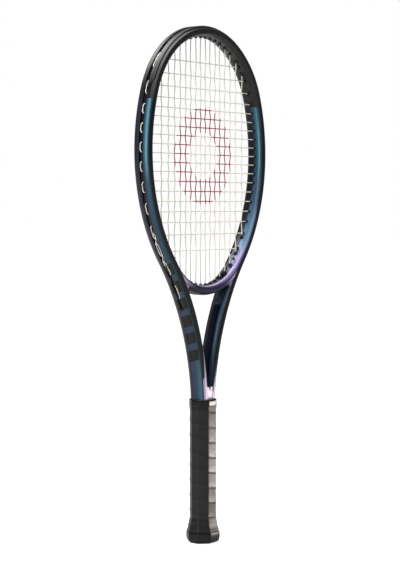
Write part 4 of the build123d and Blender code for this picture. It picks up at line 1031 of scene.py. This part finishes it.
# %% [markdown]
# ## What moves with what
#
# Everything is fixed to the racket, except the cover, which pulls out of the cap.

# %% Put every new piece on its body
for piece in (hairpin, bridge, web, bumper, grommet_noses, grip, collar, cap, *gussets):
    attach(piece, "racket")
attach(door, "door")

# %% [markdown]
# ## The studio
#
# A white floor under an even light from straight above, so that floor and surround run together. Shiny
# tubes show what they mirror, so each soft light is a shape placed where one highlight should be: a tall
# strip at the left draws the long lines down the tubes, a panel high at the left lights the sides that
# face up, a panel high behind and one overhead whiten the bumper's bands, and a low card at the front
# right lights the handle's front face. That card's light is kept to a narrow beam, or it would grey the
# legs above. The floor and the surround are bright only where the camera looks at them, because black
# plastic would mirror them and turn grey.


# %% Make a soft light
def area_light(name, place, target, size, power, colour="#ffffff", beam=180):
    """A soft rectangular light at a place, turned to face a target, in metres, with a beam in degrees.

    Its pitch is a right angle plus the target's height angle, and its heading is the target's direction
    on the floor.
    """
    lamp = bpy.data.lights.new(name, "AREA")
    lamp.shape, lamp.size, lamp.size_y = "RECTANGLE", size[0], size[1]
    lamp.energy, lamp.color, lamp.spread = power, linear(colour)[:3], math.radians(beam)
    light = bpy.data.objects.new(name, lamp)
    bpy.context.scene.collection.objects.link(light)
    direction = np.array(target) - np.array(place)
    pitch = math.atan2(direction[2], math.hypot(direction[0], direction[1])) + math.pi / 2
    light.location = place
    light.rotation_euler = (pitch, 0.0, math.atan2(-direction[0], direction[1]))
    light.visible_camera = False
    print(f"{name}: {power} W")


area_light("strip_left", (-1.89, -0.26, 0.8), (0, 0, 0.5), (0.14, 1.5), 8)
area_light("panel_high_left", (-0.9, -0.35, 1.75), (0, 0, 0.5), (1.0, 1.0), 8)
area_light("panel_high_back", (-0.1, 1.0, 1.85), (0, 0, 0.6), (1.1, 0.7), 15)
area_light("panel_overhead", (-0.25, 0.2, 2.3), (0, 0, 0.6), (0.9, 0.9), 12)
area_light("card_low_right", (0.62, -0.46, 0.07), (0, 0, 0.085), (0.3, 0.12), 0.1, "#fff4e8", beam=15)
sun = bpy.data.lights.new("even_light_above", "SUN")
sun.energy, sun.angle = 2.4, math.radians(60)
sun_object = bpy.data.objects.new("even_light_above", sun)
bpy.context.scene.collection.objects.link(sun_object)

# %% Lay the floor
FLOOR_HALF = 12
floor_corners = [(x * FLOOR_HALF, y * FLOOR_HALF, 0) for x, y in ((-1, -1), (1, -1), (1, 1), (-1, 1))]
floor_mesh = bpy.data.meshes.new("studio_floor")
floor_mesh.from_pydata(floor_corners, [], [(0, 1, 2, 3)])
floor = bpy.data.objects.new("studio_floor", floor_mesh)
bpy.context.scene.collection.objects.link(floor)
floor_paint, floor_tree, floor_shader = new_finish("matt_white_floor")
floor_shader.inputs["Base Color"].default_value = linear("#bcbcbc")
floor_shader.inputs["Roughness"].default_value = 1.0
floor_shader.inputs["Specular IOR Level"].default_value = 0.0
floor_shader.inputs["Emission Color"].default_value = linear("#ffffff")
floor_seen = add(floor_tree, "ShaderNodeLightPath").outputs["Is Camera Ray"]
floor_links = {"Value": floor_seen, "To Min": 0.0, "To Max": 0.62}
glow = add(floor_tree, "ShaderNodeMapRange", floor_links).outputs[0]
floor_tree.links.new(glow, floor_shader.inputs["Emission Strength"])
cover(floor_paint, floor)

# %% Hang the surround
world = bpy.data.worlds.new("white_studio")
bpy.context.scene.world = world
world.use_nodes = True
surround = world.node_tree.nodes["Background"]
seen = add(world.node_tree, "ShaderNodeLightPath").outputs["Is Camera Ray"]
world_links = {"Value": seen, "To Min": 0.2, "To Max": 1.0}
strength = add(world.node_tree, "ShaderNodeMapRange", world_links).outputs[0]
surround.inputs["Color"].default_value = linear("#ffffff")
world.node_tree.links.new(strength, surround.inputs["Strength"])
bpy.context.scene.view_settings.view_transform = "Standard"
print("surround:", world.name)

# %% [markdown]
# ## The camera
#
# A long lens about two metres away, in front of the racket and to its left, at the height of the throat.
# The camera looks almost level, so that the racket's sides stay upright, and the lens is shifted down to
# bring the butt in.

# %% Place the camera
AZIMUTH, DISTANCE, HEIGHT, DOWN = math.radians(53.5), 2.072, 0.449, math.radians(0.75)
AIM_LEFT = math.radians(0.107)
camera_data = bpy.data.cameras.new("camera")
camera_data.lens, camera_data.sensor_width, camera_data.shift_y = 98.3, 36.0, -0.1053
camera = bpy.data.objects.new("camera", camera_data)
bpy.context.scene.collection.objects.link(camera)
camera.location = (-DISTANCE * math.sin(AZIMUTH), -DISTANCE * math.cos(AZIMUTH), HEIGHT)
camera.rotation_euler = (math.pi / 2 - DOWN, 0.0, AIM_LEFT - AZIMUTH)
bpy.context.scene.camera = camera
print("camera at, m:", [round(value, 3) for value in camera.location])
